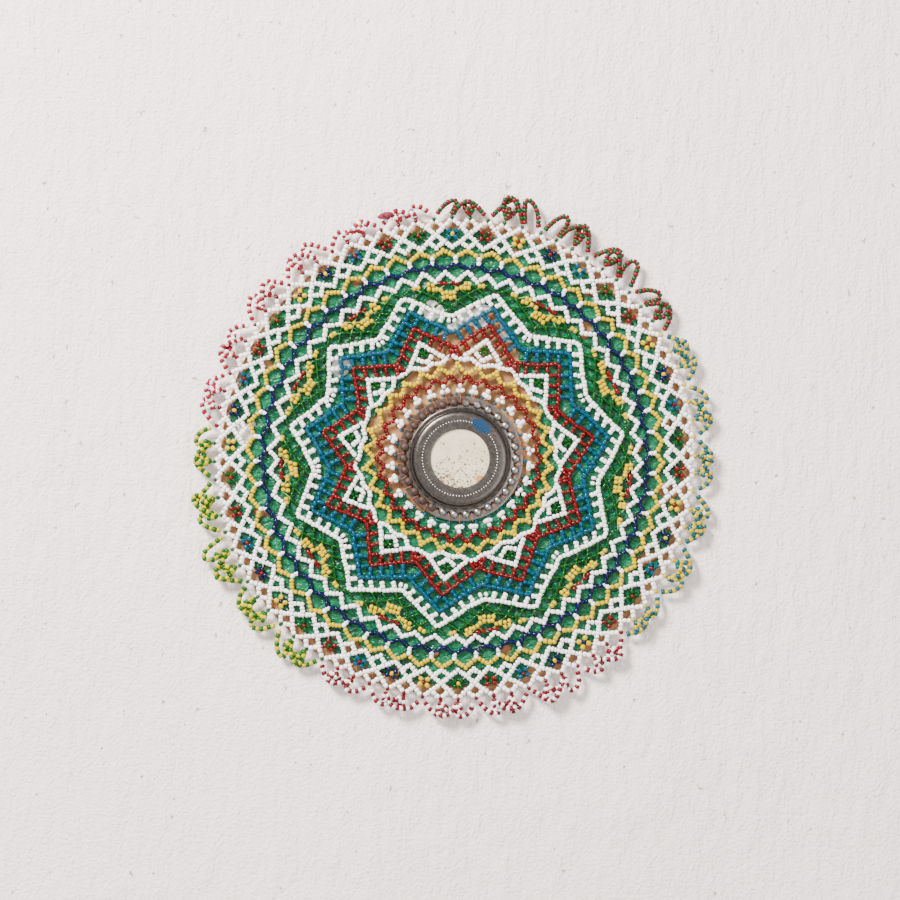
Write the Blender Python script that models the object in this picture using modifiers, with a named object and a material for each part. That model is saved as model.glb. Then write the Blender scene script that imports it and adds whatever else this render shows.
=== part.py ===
"""Beaded wall medallion: a glass-bead net, a stamped steel boss with a round mirror, a hinged loop fringe.

Metres, +Z up. The back lies on the wall plane y = 0 and the front faces -Y. The origin is the boss's centre
on the wall plane. Angles run clockwise from the top as seen from the front, in degrees.
"""

import math

import bmesh
import bpy
from mathutils import Matrix, Vector

MM = 0.001

# Layers, counted from the wall
GAP = 0.3 * MM
LEATHER_THICKNESS = 1.6 * MM
COTTON_THICKNESS = 0.4 * MM
CLOTH_THICKNESS = 0.4 * MM
NET_THICKNESS = 2.2 * MM
LEATHER_WOBBLE = 1.1 * MM
COTTON_BACK = LEATHER_THICKNESS + GAP
CLOTH_BACK = COTTON_BACK + COTTON_THICKNESS + GAP
NET_BACK = CLOTH_BACK + CLOTH_THICKNESS + GAP
NET_FRONT = NET_BACK + NET_THICKNESS

# Thread, and the steel boss that it lifts off the layers below
THREAD_RADIUS = 0.28 * MM
BOSS_BACK = NET_BACK + 2 * THREAD_RADIUS + GAP
SHEET = 0.5 * MM
FLANGE_RADIUS = 30.6 * MM
FLANGE_WIDTH = 5.4 * MM
SLOPE_WIDTH = 1.8 * MM
SHOULDER_WIDTH = 1.5 * MM
FOOT_RADIUS = FLANGE_RADIUS - FLANGE_WIDTH
CREASE_RADIUS = FOOT_RADIUS - SLOPE_WIDTH
PLATEAU_RADIUS = CREASE_RADIUS - SHOULDER_WIDTH
OPENING_RADIUS = 14.3 * MM
CREASE_RISE = 1.7 * MM
PLATEAU_RISE = 3.6 * MM
SEWING_HOLES = 30
HOLE_RADIUS = 0.85 * MM
HOLE_EDGE = 3.6 * MM
HOLE_CIRCLE = FLANGE_RADIUS - HOLE_EDGE
DOME_RADIUS = 1.9 * MM
DOME_TOP_RADIUS = 0.8 * MM
DOME_HEIGHT = 1.0 * MM

# Mirror, held up under the plateau by a tin disc
MIRROR_LAP = 1.6 * MM
MIRROR_THICKNESS = 1.8 * MM
BACKING_THICKNESS = 0.5 * MM
BACKING_RADIUS = PLATEAU_RADIUS - 2 * SHEET - GAP

# Bead net: its courses follow one another from the boss outward
SECTORS = 11
FIRST_PEAK = 18.3
SKEW = 4.6
SKEW_TOWARDS = 20.0
NET_DRIFT = -2.5 * MM
DRIFT_RUN = 70.0 * MM
COURSE_GAP = 0.45 * MM
PICOT_DEPTH = 0.8 * MM
BORDER_POINTS = 5 * SECTORS
BORDER_WIDTH = 2.0 * MM
PICOT_WIDTH = 5.8 * MM
RED_COLLAR_WIDTH = 3.4 * MM
YELLOW_COLLAR_WIDTH = 6.2 * MM
TRIANGLE_FOOT = 3.3 * MM
TRIANGLE_HEIGHT = 9.5 * MM
RED_STAR_WIDTHS = (5.9 * MM, 8.5 * MM)
TURQUOISE_STAR_WIDTHS = (8.6 * MM, 9.1 * MM)
WHITE_STAR_WIDTHS = (5.8 * MM, 5.8 * MM)
FIELD_WIDTH = 2.4 * MM
WHITE_BORDER_HEIGHT = 4.0 * MM
BLUE_BORDER_HEIGHT = 2.8 * MM
YELLOW_BORDER_HEIGHT = 3.2 * MM
LATTICE_WIDTH = 15.4 * MM
LATTICE_POINTS = 84
LATTICE_DEPTH = 1.6 * MM


def beyond(band, widths):
    """A star's valley and peak radii, each its own width beyond the star inside it."""
    return band[0] + widths[0], band[1] + widths[1]


def border(foot, height):
    """The valley and peak radii of a zigzag's middle line, its strip's inner edge at the foot."""
    return foot + BORDER_WIDTH / 2, foot + BORDER_WIDTH / 2 + height


def outer_edge(band):
    """The radius of a zigzag strip's outermost edge, with the clearance to the next course."""
    return band[1] + BORDER_WIDTH / 2 + COURSE_GAP


PICOT_OUTER = FLANGE_RADIUS + PICOT_WIDTH
RED_COLLAR_OUTER = PICOT_OUTER + RED_COLLAR_WIDTH
YELLOW_COLLAR_OUTER = RED_COLLAR_OUTER + YELLOW_COLLAR_WIDTH
TRIANGLE_VALLEY = YELLOW_COLLAR_OUTER + TRIANGLE_FOOT
TRIANGLES = (TRIANGLE_VALLEY, TRIANGLE_VALLEY + TRIANGLE_HEIGHT)
RED_STAR = beyond(TRIANGLES, RED_STAR_WIDTHS)
TURQUOISE_STAR = beyond(RED_STAR, TURQUOISE_STAR_WIDTHS)
WHITE_STAR = beyond(TURQUOISE_STAR, WHITE_STAR_WIDTHS)
FIELD_OUTER = WHITE_STAR[1] + FIELD_WIDTH
WHITE_BORDER = border(FIELD_OUTER + COURSE_GAP, WHITE_BORDER_HEIGHT)
BLUE_BORDER = border(outer_edge(WHITE_BORDER), BLUE_BORDER_HEIGHT)
YELLOW_BORDER = border(outer_edge(BLUE_BORDER), YELLOW_BORDER_HEIGHT)
LATTICE_INNER = outer_edge(YELLOW_BORDER)
LATTICE_OUTER = LATTICE_INNER + LATTICE_WIDTH

# Discs behind the net
LEATHER_RADIUS = LATTICE_OUTER - 2.3 * MM
CLOTH_RADIUS = LATTICE_OUTER - 4.8 * MM
COTTON_RADIUS = LATTICE_OUTER - 9.8 * MM

# Fringe: each lump of three loops swings on the tangent at its roots
LOOPS_PER_LUMP = 3
FRINGE_START = 355.0
HINGE_CLEARANCE = 0.7 * MM
HINGE_RISE = 0.3 * MM
ROOT_CLEARANCE = 0.4 * MM
SIDE_CLEARANCE = 0.45 * MM
SIDE_TAPER = 0.34
FRINGE_THICKNESS = 2.0 * MM
FRINGE_SECTORS = (
    ("fringe_red_green", 5, 13.2 * MM, (0.30, 0.10, 0.06, 1.0)),
    ("fringe_turquoise_yellow", 6, 9.8 * MM, (0.35, 0.50, 0.15, 1.0)),
    ("fringe_dark_red_white", 6, 10.6 * MM, (0.50, 0.10, 0.12, 1.0)),
    ("fringe_green_yellow", 5, 14.2 * MM, (0.30, 0.50, 0.06, 1.0)),
    ("fringe_red_white", 6, 11.6 * MM, (0.75, 0.20, 0.22, 1.0)),
)

# Wool tuft, what is left of the hanging tie: it lies along the rim, on the lump of loops that it is tied to
TUFT_ANGLE = 344.0
TUFT_RADIUS = 1.5 * MM
TUFT_LENGTH = 8.0 * MM
TUFT_OUTWARD = 5.0 * MM

OBJECT_NAME = "beaded_medallion"
FACING = Matrix.Rotation(math.pi / 2, 4, "X")

WHITE = (0.85, 0.85, 0.82, 1.0)
YELLOW = (0.90, 0.62, 0.02, 1.0)
RED = (0.55, 0.01, 0.02, 1.0)
NAVY = (0.01, 0.02, 0.20, 1.0)
TURQUOISE = (0.02, 0.25, 0.36, 1.0)
GREEN = (0.01, 0.16, 0.04, 1.0)


def start_scene():
    """Empty the scene and add the collections for the parts and the cutters."""
    for old in list(bpy.data.objects):
        bpy.data.objects.remove(old)
    parts = bpy.data.collections.new(OBJECT_NAME)
    cutters = bpy.data.collections.new("cutters")
    for collection in (parts, cutters):
        bpy.context.scene.collection.children.link(collection)
    return parts, cutters


def finish_of(name, colour, roughness, metallic=0.0):
    """A material of one colour for one sub-part."""
    material = bpy.data.materials.new(name + "_finish")
    material.use_nodes = True
    shader = material.node_tree.nodes["Principled BSDF"]
    shader.inputs["Base Color"].default_value = colour
    shader.inputs["Roughness"].default_value = roughness
    shader.inputs["Metallic"].default_value = metallic
    return material


def clamp(value):
    """The value, kept between 0 and 1."""
    return min(1.0, max(0.0, value))


def drift(radius):
    """How far a course's centre lies off the boss's, because the net is pulled to one side."""
    return NET_DRIFT * clamp((radius - FLANGE_RADIUS) / DRIFT_RUN)


def spot(radius, degrees):
    """A point of the net on the front's own plane: x to the right, y up."""
    turn = math.radians(degrees)
    return Vector((drift(radius) + radius * math.sin(turn), radius * math.cos(turn), 0.0))


def skewed(degrees):
    """The angle of a course's point, after the sectors' unequal widths."""
    return degrees - SKEW * math.cos(math.radians(degrees - SKEW_TOWARDS))


def zigzag(low, high, points, first, skew=True):
    """An outline that runs from valleys to peaks: one peak at first, then evenly spaced."""
    outline = []
    step = 180.0 / points
    for index in range(2 * points):
        degrees = first + step * index
        radius = low if index % 2 else high
        outline.append(spot(radius, skewed(degrees) if skew else degrees))
    return outline


def ring(radius, points, wobble=0.0):
    """A round outline, with a slow wobble of its radius for a disc that was cut by hand."""
    outline = []
    for index in range(points):
        degrees = 360.0 * index / points
        turn = math.radians(degrees)
        bulge = wobble * (math.sin(2 * turn + 0.6) + 0.5 * math.cos(3 * turn))
        outline.append(spot(radius + bulge, degrees))
    return outline


def ribbon(band, first):
    """The two outlines of a border's zigzag strip."""
    low, high = band
    half = BORDER_WIDTH / 2
    outer = zigzag(low + half, high + half, BORDER_POINTS, first)
    inner = zigzag(low - half, high - half, BORDER_POINTS, first)
    return outer, inner


def flat_outline(name, outlines, thickness):
    """A 2D curve that fills the outlines, half its thickness to each side of its own plane."""
    curve = bpy.data.curves.new(name, "CURVE")
    curve.dimensions = "2D"
    curve.fill_mode = "BOTH"
    curve.extrude = thickness / 2
    for outline in outlines:
        spline = curve.splines.new("POLY")
        spline.points.add(len(outline) - 1)
        for point, place in zip(spline.points, outline):
            point.co = (place.x, place.y, 0.0, 1.0)
        spline.use_cyclic_u = True
    return curve


def plate(parts, name, outlines, back, thickness, colour, roughness=0.35):
    """A flat piece that faces the front, its back at a height above the wall."""
    curve = flat_outline(name, outlines, thickness)
    piece = bpy.data.objects.new(name, curve)
    piece.matrix_world = Matrix.Translation((0.0, -(back + thickness / 2), 0.0)) @ FACING
    piece.data.materials.append(finish_of(name, colour, roughness))
    parts.objects.link(piece)
    return piece


def turned(collection, name, profile, thickness=0.0, steps=48):
    """A turned piece: the profile is (radius, height), run from the top to the bottom on its outer side."""
    mesh = bpy.data.meshes.new(name)
    piece = bpy.data.objects.new(name, mesh)
    collection.objects.link(piece)
    shape = bmesh.new()
    points = [shape.verts.new((radius, 0.0, height)) for radius, height in profile]
    for upper, lower in zip(points, points[1:]):
        shape.edges.new((upper, lower))
    shape.to_mesh(mesh)
    shape.free()
    screw = piece.modifiers.new("turn", "SCREW")
    screw.steps = steps
    screw.render_steps = steps
    screw.use_merge_vertices = True
    screw.merge_threshold = 0.00001
    if thickness:
        wall = piece.modifiers.new("wall", "SOLIDIFY")
        wall.thickness = thickness
        wall.offset = -1.0
    piece.matrix_world = FACING
    return piece


def around(count, first=0.0):
    """Evenly spaced angles."""
    return [first + 360.0 * index / count for index in range(count)]


def front_point(radius, degrees, height):
    """A point round the boss: radius and angle on the front, height above the wall."""
    turn = math.radians(degrees)
    return Vector((radius * math.sin(turn), -height, radius * math.cos(turn)))


def cutter(cutters, name, shape):
    """A hidden object that a Boolean reads."""
    mesh = bpy.data.meshes.new(name)
    shape.to_mesh(mesh)
    shape.free()
    piece = bpy.data.objects.new(name, mesh)
    piece.hide_render = True
    piece.display_type = "WIRE"
    cutters.objects.link(piece)
    return piece


def rods(cutters, name, angles, back, height, radius, top_radius):
    """Short rods or cones round the flange, one at each angle, their backs at a height above the wall."""
    shape = bmesh.new()
    for degrees in angles:
        place = Matrix.Translation(front_point(HOLE_CIRCLE, degrees, back + height / 2)) @ FACING
        bmesh.ops.create_cone(
            shape, cap_ends=True, segments=6, radius1=radius, radius2=top_radius, depth=height, matrix=place
        )
    return cutter(cutters, name, shape)


def add_boss(parts, cutters):
    """The stamped steel boss, its domes raised and its sewing holes cut."""
    flange_top = BOSS_BACK + SHEET
    plateau_top = flange_top + PLATEAU_RISE
    crease_top = flange_top + CREASE_RISE
    shoulder_radius = 0.4 * PLATEAU_RADIUS + 0.6 * CREASE_RADIUS
    shoulder_top = 0.75 * plateau_top + 0.25 * crease_top
    profile = (
        (OPENING_RADIUS, plateau_top),
        (PLATEAU_RADIUS, plateau_top),
        (shoulder_radius, shoulder_top),
        (CREASE_RADIUS, crease_top),
        (FOOT_RADIUS, flange_top),
        (FLANGE_RADIUS, flange_top),
    )
    shell = turned(parts, "boss_shell", profile, SHEET)
    shell.data.materials.append(finish_of("boss_shell", (0.30, 0.27, 0.25, 1.0), 0.4, 1.0))
    half_pitch = 180.0 / SEWING_HOLES
    inside_sheet = BOSS_BACK + SHEET / 2
    dome_angles = around(SEWING_HOLES, half_pitch)
    dome_depth = DOME_HEIGHT + SHEET / 2
    raised = shell.modifiers.new("domes", "BOOLEAN")
    raised.operation = "UNION"
    dome_radii = (DOME_RADIUS, DOME_TOP_RADIUS)
    raised.object = rods(cutters, "dome_bodies", dome_angles, inside_sheet, dome_depth, *dome_radii)
    holes = shell.modifiers.new("holes", "BOOLEAN")
    holes.operation = "DIFFERENCE"
    below_sheet = BOSS_BACK - SHEET
    hole_angles = around(SEWING_HOLES)
    hole_radii = (HOLE_RADIUS, HOLE_RADIUS)
    holes.object = rods(cutters, "hole_cutters", hole_angles, below_sheet, 4 * SHEET, *hole_radii)


def disc(parts, name, radius, back, thickness, colour, roughness, metallic):
    """A plain turned disc, closed on its axis."""
    top = back + thickness
    profile = ((0.0, top), (radius, top), (radius, back), (0.0, back))
    piece = turned(parts, name, profile)
    piece.data.materials.append(finish_of(name, colour, roughness, metallic))


def add_mirror(parts):
    """The mirror glass under the plateau, and the tin disc behind it."""
    glass_back = BOSS_BACK + PLATEAU_RISE - GAP - MIRROR_THICKNESS
    glass_radius = OPENING_RADIUS + MIRROR_LAP
    aged = (0.80, 0.74, 0.60, 1.0)
    disc(parts, "mirror_glass", glass_radius, glass_back, MIRROR_THICKNESS, aged, 0.2, 0.0)
    tin_back = glass_back - GAP - BACKING_THICKNESS
    tin = (0.45, 0.44, 0.42, 1.0)
    disc(parts, "mirror_backing", BACKING_RADIUS, tin_back, BACKING_THICKNESS, tin, 0.5, 1.0)


def add_lashing(parts):
    """One thread whipped over the flange's edge: up through each sewing hole, over the edge, back under."""
    curve = bpy.data.curves.new("boss_lashing", "CURVE")
    curve.dimensions = "3D"
    curve.bevel_depth = THREAD_RADIUS
    curve.bevel_resolution = 0
    above = BOSS_BACK + SHEET + THREAD_RADIUS + GAP / 2
    below = BOSS_BACK - THREAD_RADIUS - GAP / 2
    edge = FLANGE_RADIUS + THREAD_RADIUS + GAP
    pitch = 360.0 / SEWING_HOLES
    course = []
    for degrees in around(SEWING_HOLES):
        course.append(front_point(HOLE_CIRCLE, degrees, below))
        course.append(front_point(HOLE_CIRCLE, degrees, above))
        course.append(front_point(edge, degrees + 0.2 * pitch, above))
        course.append(front_point(edge, degrees + 0.3 * pitch, below))
    spline = curve.splines.new("POLY")
    spline.points.add(len(course) - 1)
    for point, place in zip(spline.points, course):
        point.co = (*place, 1.0)
    spline.use_cyclic_u = True
    thread = bpy.data.objects.new("boss_lashing", curve)
    thread.data.materials.append(finish_of("boss_lashing", (0.50, 0.22, 0.08, 1.0), 0.7))
    parts.objects.link(thread)


def grown(band, amount):
    """A course's valley and peak radii, moved outward by an amount."""
    low, high = band
    return low + amount, high + amount


def star(band):
    """A star's outline: one valley and one peak in each sector."""
    low, high = band
    return zigzag(low, high, SECTORS, FIRST_PEAK)


def picots(radius):
    """The scalloped edge of an inner course."""
    return zigzag(radius - PICOT_DEPTH, radius, SEWING_HOLES, 0.0, skew=False)


def net_plate(parts, name, outer, inner, colour):
    """One course of the bead net, between two outlines."""
    plate(parts, name, (outer, inner), NET_BACK, NET_THICKNESS, colour)


def add_layers(parts):
    """The leather base, the cotton lining and the green cloth."""
    leather = ring(LEATHER_RADIUS, 72, LEATHER_WOBBLE)
    plate(parts, "leather_base", (leather,), 0.0, LEATHER_THICKNESS, (0.55, 0.32, 0.16, 1.0), 0.8)
    plate(parts, "cotton_lining", (ring(COTTON_RADIUS, 48),), COTTON_BACK, COTTON_THICKNESS, WHITE, 0.9)
    emerald = (0.0, 0.22, 0.10, 1.0)
    plate(parts, "green_cloth", (ring(CLOTH_RADIUS, 48),), CLOTH_BACK, CLOTH_THICKNESS, emerald, 0.3)


def add_inner_courses(parts):
    """The three collars round the boss, and the white triangles."""
    boss_side = ring(FLANGE_RADIUS + 2 * THREAD_RADIUS + 2 * GAP, 2 * SEWING_HOLES)
    net_plate(parts, "picot_collar", picots(PICOT_OUTER), boss_side, WHITE)
    net_plate(parts, "red_collar", picots(RED_COLLAR_OUTER), picots(PICOT_OUTER + COURSE_GAP), RED)
    red_side = picots(RED_COLLAR_OUTER + COURSE_GAP)
    net_plate(parts, "yellow_collar", picots(YELLOW_COLLAR_OUTER), red_side, YELLOW)
    net_plate(parts, "white_triangles", star(TRIANGLES), picots(YELLOW_COLLAR_OUTER + COURSE_GAP), WHITE)


def add_stars(parts):
    """The nested eleven-pointed stars, and the green field outside them."""
    net_plate(parts, "red_star", star(RED_STAR), star(grown(TRIANGLES, COURSE_GAP)), RED)
    net_plate(parts, "turquoise_star", star(TURQUOISE_STAR), star(grown(RED_STAR, COURSE_GAP)), TURQUOISE)
    net_plate(parts, "white_star", star(WHITE_STAR), star(grown(TURQUOISE_STAR, COURSE_GAP)), WHITE)
    field_edge = ring(FIELD_OUTER, 4 * SECTORS)
    net_plate(parts, "green_field", field_edge, star(grown(WHITE_STAR, COURSE_GAP)), GREEN)


def add_borders(parts):
    """The three zigzag borders, peak to valley, and the lattice of flowers outside them."""
    half_step = 180.0 / BORDER_POINTS
    net_plate(parts, "white_border", *ribbon(WHITE_BORDER, FIRST_PEAK), WHITE)
    net_plate(parts, "blue_border", *ribbon(BLUE_BORDER, FIRST_PEAK + half_step), NAVY)
    net_plate(parts, "yellow_border", *ribbon(YELLOW_BORDER, FIRST_PEAK), YELLOW)
    rim = zigzag(LATTICE_OUTER - LATTICE_DEPTH, LATTICE_OUTER, LATTICE_POINTS, FRINGE_START, skew=False)
    net_plate(parts, "flower_lattice", rim, ring(LATTICE_INNER, 88), WHITE)


def lump_outline(length, half_width):
    """Three loops side by side, from their roots at y = 0 out to their tips."""
    root = ROOT_CLEARANCE
    outline = [Vector((-half_width, root, 0.0))]
    loop_width = 2 * half_width / LOOPS_PER_LUMP
    steps = 6
    for loop in range(LOOPS_PER_LUMP):
        middle = -half_width + (loop + 0.5) * loop_width
        reach = length if loop == 1 else 0.9 * length
        crown = loop_width / 2
        for index in range(steps + 1):
            turn = math.pi * (1.0 - index / steps)
            across = middle + crown * math.cos(turn)
            outward = root + reach - crown + crown * math.sin(turn)
            taper = 1.0 - SIDE_TAPER * outward / LATTICE_OUTER
            outline.append(Vector((across * taper, outward, 0.0)))
    outline.append(Vector((half_width, root, 0.0)))
    return outline


def add_fringe(parts):
    """The lumps of three loops, each with its origin on the tangent that it swings on."""
    lumps = LATTICE_POINTS // LOOPS_PER_LUMP
    pitch = 360.0 / lumps
    hinge_radius = LATTICE_OUTER + HINGE_CLEARANCE
    half_width = hinge_radius * math.tan(math.radians(pitch / 2)) - SIDE_CLEARANCE
    place = 0
    for prefix, count, length, colour in FRINGE_SECTORS:
        for number in range(1, count + 1):
            name = f"{prefix}_{number}"
            degrees = FRINGE_START + pitch * (place + 0.5)
            curve = flat_outline(name, (lump_outline(length, half_width),), FRINGE_THICKNESS)
            piece = bpy.data.objects.new(name, curve)
            root = spot(hinge_radius, degrees)
            height = NET_FRONT + HINGE_RISE
            axis = Matrix.Translation((root.x, -height, root.y))
            turned_to = Matrix.Rotation(math.radians(degrees), 4, "Y")
            sunk = Matrix.Translation((0.0, 0.0, NET_BACK + FRINGE_THICKNESS / 2 - height))
            piece.data.transform(sunk)
            piece.matrix_world = axis @ turned_to @ FACING
            piece.data.materials.append(finish_of(name, colour, 0.3))
            parts.objects.link(piece)
            place += 1


def add_tuft(parts):
    """The wool tuft that lies along the rim, in front of the loops."""
    half = TUFT_LENGTH / 2
    profile = (
        (0.0, half),
        (0.5 * TUFT_RADIUS, 0.95 * half),
        (TUFT_RADIUS, 0.2 * half),
        (0.9 * TUFT_RADIUS, -0.6 * half),
        (0.4 * TUFT_RADIUS, -half),
        (0.0, -half),
    )
    tuft = turned(parts, "hanging_tuft", profile, 0.0, 12)
    tuft.data.materials.append(finish_of("hanging_tuft", (0.60, 0.01, 0.08, 1.0), 0.9))
    root = spot(LATTICE_OUTER + HINGE_CLEARANCE + TUFT_OUTWARD, TUFT_ANGLE)
    height = NET_BACK + FRINGE_THICKNESS + GAP + TUFT_RADIUS
    along_rim = Matrix.Rotation(math.radians(TUFT_ANGLE), 4, "Y") @ Matrix.Rotation(math.pi / 2, 4, "Y")
    tuft.matrix_world = Matrix.Translation((root.x, -height, root.y)) @ along_rim


def build():
    """Every piece of the medallion, from the wall outward."""
    parts, cutters = start_scene()
    add_layers(parts)
    add_mirror(parts)
    add_boss(parts, cutters)
    add_lashing(parts)
    add_inner_courses(parts)
    add_stars(parts)
    add_borders(parts)
    add_fringe(parts)
    add_tuft(parts)


build()
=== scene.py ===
"""Beaded wall medallion: a glass-bead net, a stamped steel boss with an aged mirror, a fringe of loops."""

import math
import random

import bmesh
import bpy
import numpy as np
from mathutils import Matrix, Vector, noise


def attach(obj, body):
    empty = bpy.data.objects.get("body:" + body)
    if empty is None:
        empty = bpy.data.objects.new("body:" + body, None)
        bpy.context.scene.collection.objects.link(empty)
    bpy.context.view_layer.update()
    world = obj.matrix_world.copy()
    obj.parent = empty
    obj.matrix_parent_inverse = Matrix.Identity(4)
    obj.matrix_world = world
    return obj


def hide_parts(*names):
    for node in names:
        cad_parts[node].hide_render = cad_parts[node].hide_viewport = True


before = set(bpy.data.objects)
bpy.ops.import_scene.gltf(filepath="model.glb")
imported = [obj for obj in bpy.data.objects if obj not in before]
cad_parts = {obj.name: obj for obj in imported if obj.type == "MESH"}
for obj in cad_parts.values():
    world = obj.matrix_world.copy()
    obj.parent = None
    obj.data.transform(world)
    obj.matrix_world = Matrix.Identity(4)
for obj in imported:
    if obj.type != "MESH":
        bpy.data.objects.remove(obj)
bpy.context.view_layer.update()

MM = 0.001

# --------------------------------------------------------------------------------------------------
# Leather base
# One disc of undyed leather, cut by hand and a little out of round. Everything else is sewn to it, and its
# rough side lies against the wall.

LEATHER_RADIUS = 115.5 * MM
LEATHER_THICKNESS = 1.6 * MM
NET_DRIFT = -2.5 * MM
BOSS_EDGE = 30.6 * MM
DRIFT_RUN = 70.0 * MM


class Value:
    """A node's output socket, with the sums that can be made with it."""

    def __init__(self, graph, socket):
        self.graph = graph
        self.socket = socket

    def math(self, operation, *others):
        return self.graph.node("ShaderNodeMath", {"operation": operation}, dict(enumerate((self, *others))))

    def flipped(self, operation, other):
        return self.graph.node("ShaderNodeMath", {"operation": operation}, {0: other, 1: self})

    def __add__(self, other):
        return self.math("ADD", other)

    def __radd__(self, other):
        return self.math("ADD", other)

    def __sub__(self, other):
        return self.math("SUBTRACT", other)

    def __rsub__(self, other):
        return self.flipped("SUBTRACT", other)

    def __mul__(self, other):
        return self.math("MULTIPLY", other)

    def __rmul__(self, other):
        return self.math("MULTIPLY", other)

    def __truediv__(self, other):
        return self.math("DIVIDE", other)

    def between(self, low, high):
        """0 below low and 1 above high, with a smooth step from one to the other."""
        settings = {"interpolation_type": "SMOOTHSTEP"}
        values = {"Value": self, "From Min": low, "From Max": high}
        return self.graph.node("ShaderNodeMapRange", settings, values)


class Graph:
    """A node tree that is being built, one call for each node."""

    def __init__(self, tree):
        self.tree = tree

    def node(self, kind, settings=None, values=None, out=0):
        """Add a node, set its properties and its inputs, and return one of its outputs."""
        node = self.tree.nodes.new(kind)
        for name, value in (settings or {}).items():
            setattr(node, name, value)
        for name, value in (values or {}).items():
            if isinstance(value, Value):
                self.tree.links.new(value.socket, node.inputs[name])
            else:
                node.inputs[name].default_value = value
        return Value(self, node.outputs[out])


class Finish(Graph):
    """A material on a Principled shader, with the patterns that several pieces share."""

    def __init__(self, name, **constants):
        self.material = bpy.data.materials.new(name)
        self.material.use_nodes = True
        super().__init__(self.material.node_tree)
        self.shader = self.tree.nodes["Principled BSDF"]
        for label, value in constants.items():
            self.shader.inputs[label.replace("_", " ").title().replace("Ior", "IOR")].default_value = value
        self.place = self.node("ShaderNodeTexCoord", out="Object")

    def feed(self, label, value):
        """Drive one of the shader's inputs."""
        self.tree.links.new(value.socket, self.shader.inputs[label])

    def clouds(self, scale, detail=2.0, roughness=0.5, stretch=None):
        """Soft noise from 0 to 1, its scale in features per metre."""
        place = self.place
        if stretch:
            place = self.node("ShaderNodeVectorMath", {"operation": "MULTIPLY"}, {0: place, 1: stretch})
        values = {"Vector": place, "Scale": scale, "Detail": detail, "Roughness": roughness}
        return self.node("ShaderNodeTexNoise", {}, values)

    def mix(self, factor, first, second):
        """One colour changing into another."""
        blended = {"Factor": factor, 6: first, 7: second}
        return self.node("ShaderNodeMix", {"data_type": "RGBA"}, blended, out=2)

    def bump(self, height, depth):
        """Raise the surface by up to a depth in metres."""
        self.feed("Normal", self.node("ShaderNodeBump", {}, {"Height": height, "Distance": depth}))

    def along(self, axis):
        """The coordinate along one axis."""
        split = self.node("ShaderNodeSeparateXYZ", {}, {0: self.place})
        return Value(self, split.socket.node.outputs[axis])

    def angle(self):
        """How far round the front a point lies, 0 to 1 clockwise from the top, and how far from the axis."""
        across = self.along("X")
        up = self.along("Z")
        turn = across.math("ARCTAN2", up) / (2 * math.pi)
        return turn.math("FRACT"), (across * across + up * up).math("SQRT")


def drift(radius):
    """How far a course's centre lies off the boss's, because the net is pulled to one side."""
    return NET_DRIFT * min(1.0, max(0.0, (radius - BOSS_EDGE) / DRIFT_RUN))


def place(radius, degrees, height=0.0):
    """A point at a radius and an angle clockwise from the top, at a height above the wall."""
    turn = math.radians(degrees)
    return Vector((drift(radius) + radius * math.sin(turn), -height, radius * math.cos(turn)))


def round_sheet(name, radius_at, rings, segments, height_at, first_ring=0.0):
    """A disc of cloth or leather as a polar grid that faces the front."""
    shape = bmesh.new()
    rows = []
    for ring in range(rings + 1):
        share = first_ring + (1.0 - first_ring) * ring / rings
        row = []
        if share == 0.0:
            row = [shape.verts.new(place(0.0, 0.0, height_at(place(0.0, 0.0))))] * segments
        else:
            for step in range(segments):
                degrees = 360.0 * step / segments
                spot = place(share * radius_at(degrees), degrees)
                spot.y = -height_at(spot)
                row.append(shape.verts.new(spot))
        rows.append(row)
    for inner, outer in zip(rows, rows[1:]):
        for step in range(segments):
            after = (step + 1) % segments
            corners = [inner[step], inner[after], outer[after], outer[step]]
            if inner[step] is inner[after]:
                corners.pop(1)
            shape.faces.new(corners)
    mesh = bpy.data.meshes.new(name)
    shape.to_mesh(mesh)
    shape.free()
    mesh.shade_smooth()
    piece = bpy.data.objects.new(name, mesh)
    bpy.context.scene.collection.objects.link(piece)
    return piece


def settled(piece):
    """Make the modifiers' result the piece's own plain mesh."""
    graph = bpy.context.evaluated_depsgraph_get()
    finished = bpy.data.meshes.new_from_object(piece.evaluated_get(graph))
    source = piece.data
    piece.modifiers.clear()
    piece.data = finished
    finished.name = piece.name
    if source.users == 0:
        (bpy.data.curves if isinstance(source, bpy.types.Curve) else bpy.data.meshes).remove(source)
    return piece


def thickened(piece, thickness):
    """Give a sheet its thickness, toward the wall."""
    wall = piece.modifiers.new("thickness", "SOLIDIFY")
    wall.thickness = thickness
    wall.offset = -1.0
    return settled(piece)


def finished(piece, material, slot, *nodes, body="root"):
    """Give the piece its material, hang it on the body it rides on, and hide the parts it stands for."""
    if material:
        piece.data.materials.clear()
        piece.data.materials.append(material)
    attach(piece, body)
    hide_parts(*nodes)
    return piece


def leather_edge(degrees):
    """The hand-cut edge."""
    turn = math.radians(degrees)
    return LEATHER_RADIUS + 1.1 * MM * (math.sin(2 * turn + 0.6) + 0.5 * math.cos(3 * turn))


def leather_face(spot):
    """The face's height above the wall, a little cockled."""
    return LEATHER_THICKNESS + 0.08 * MM * noise.noise(spot / (18 * MM))


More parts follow.
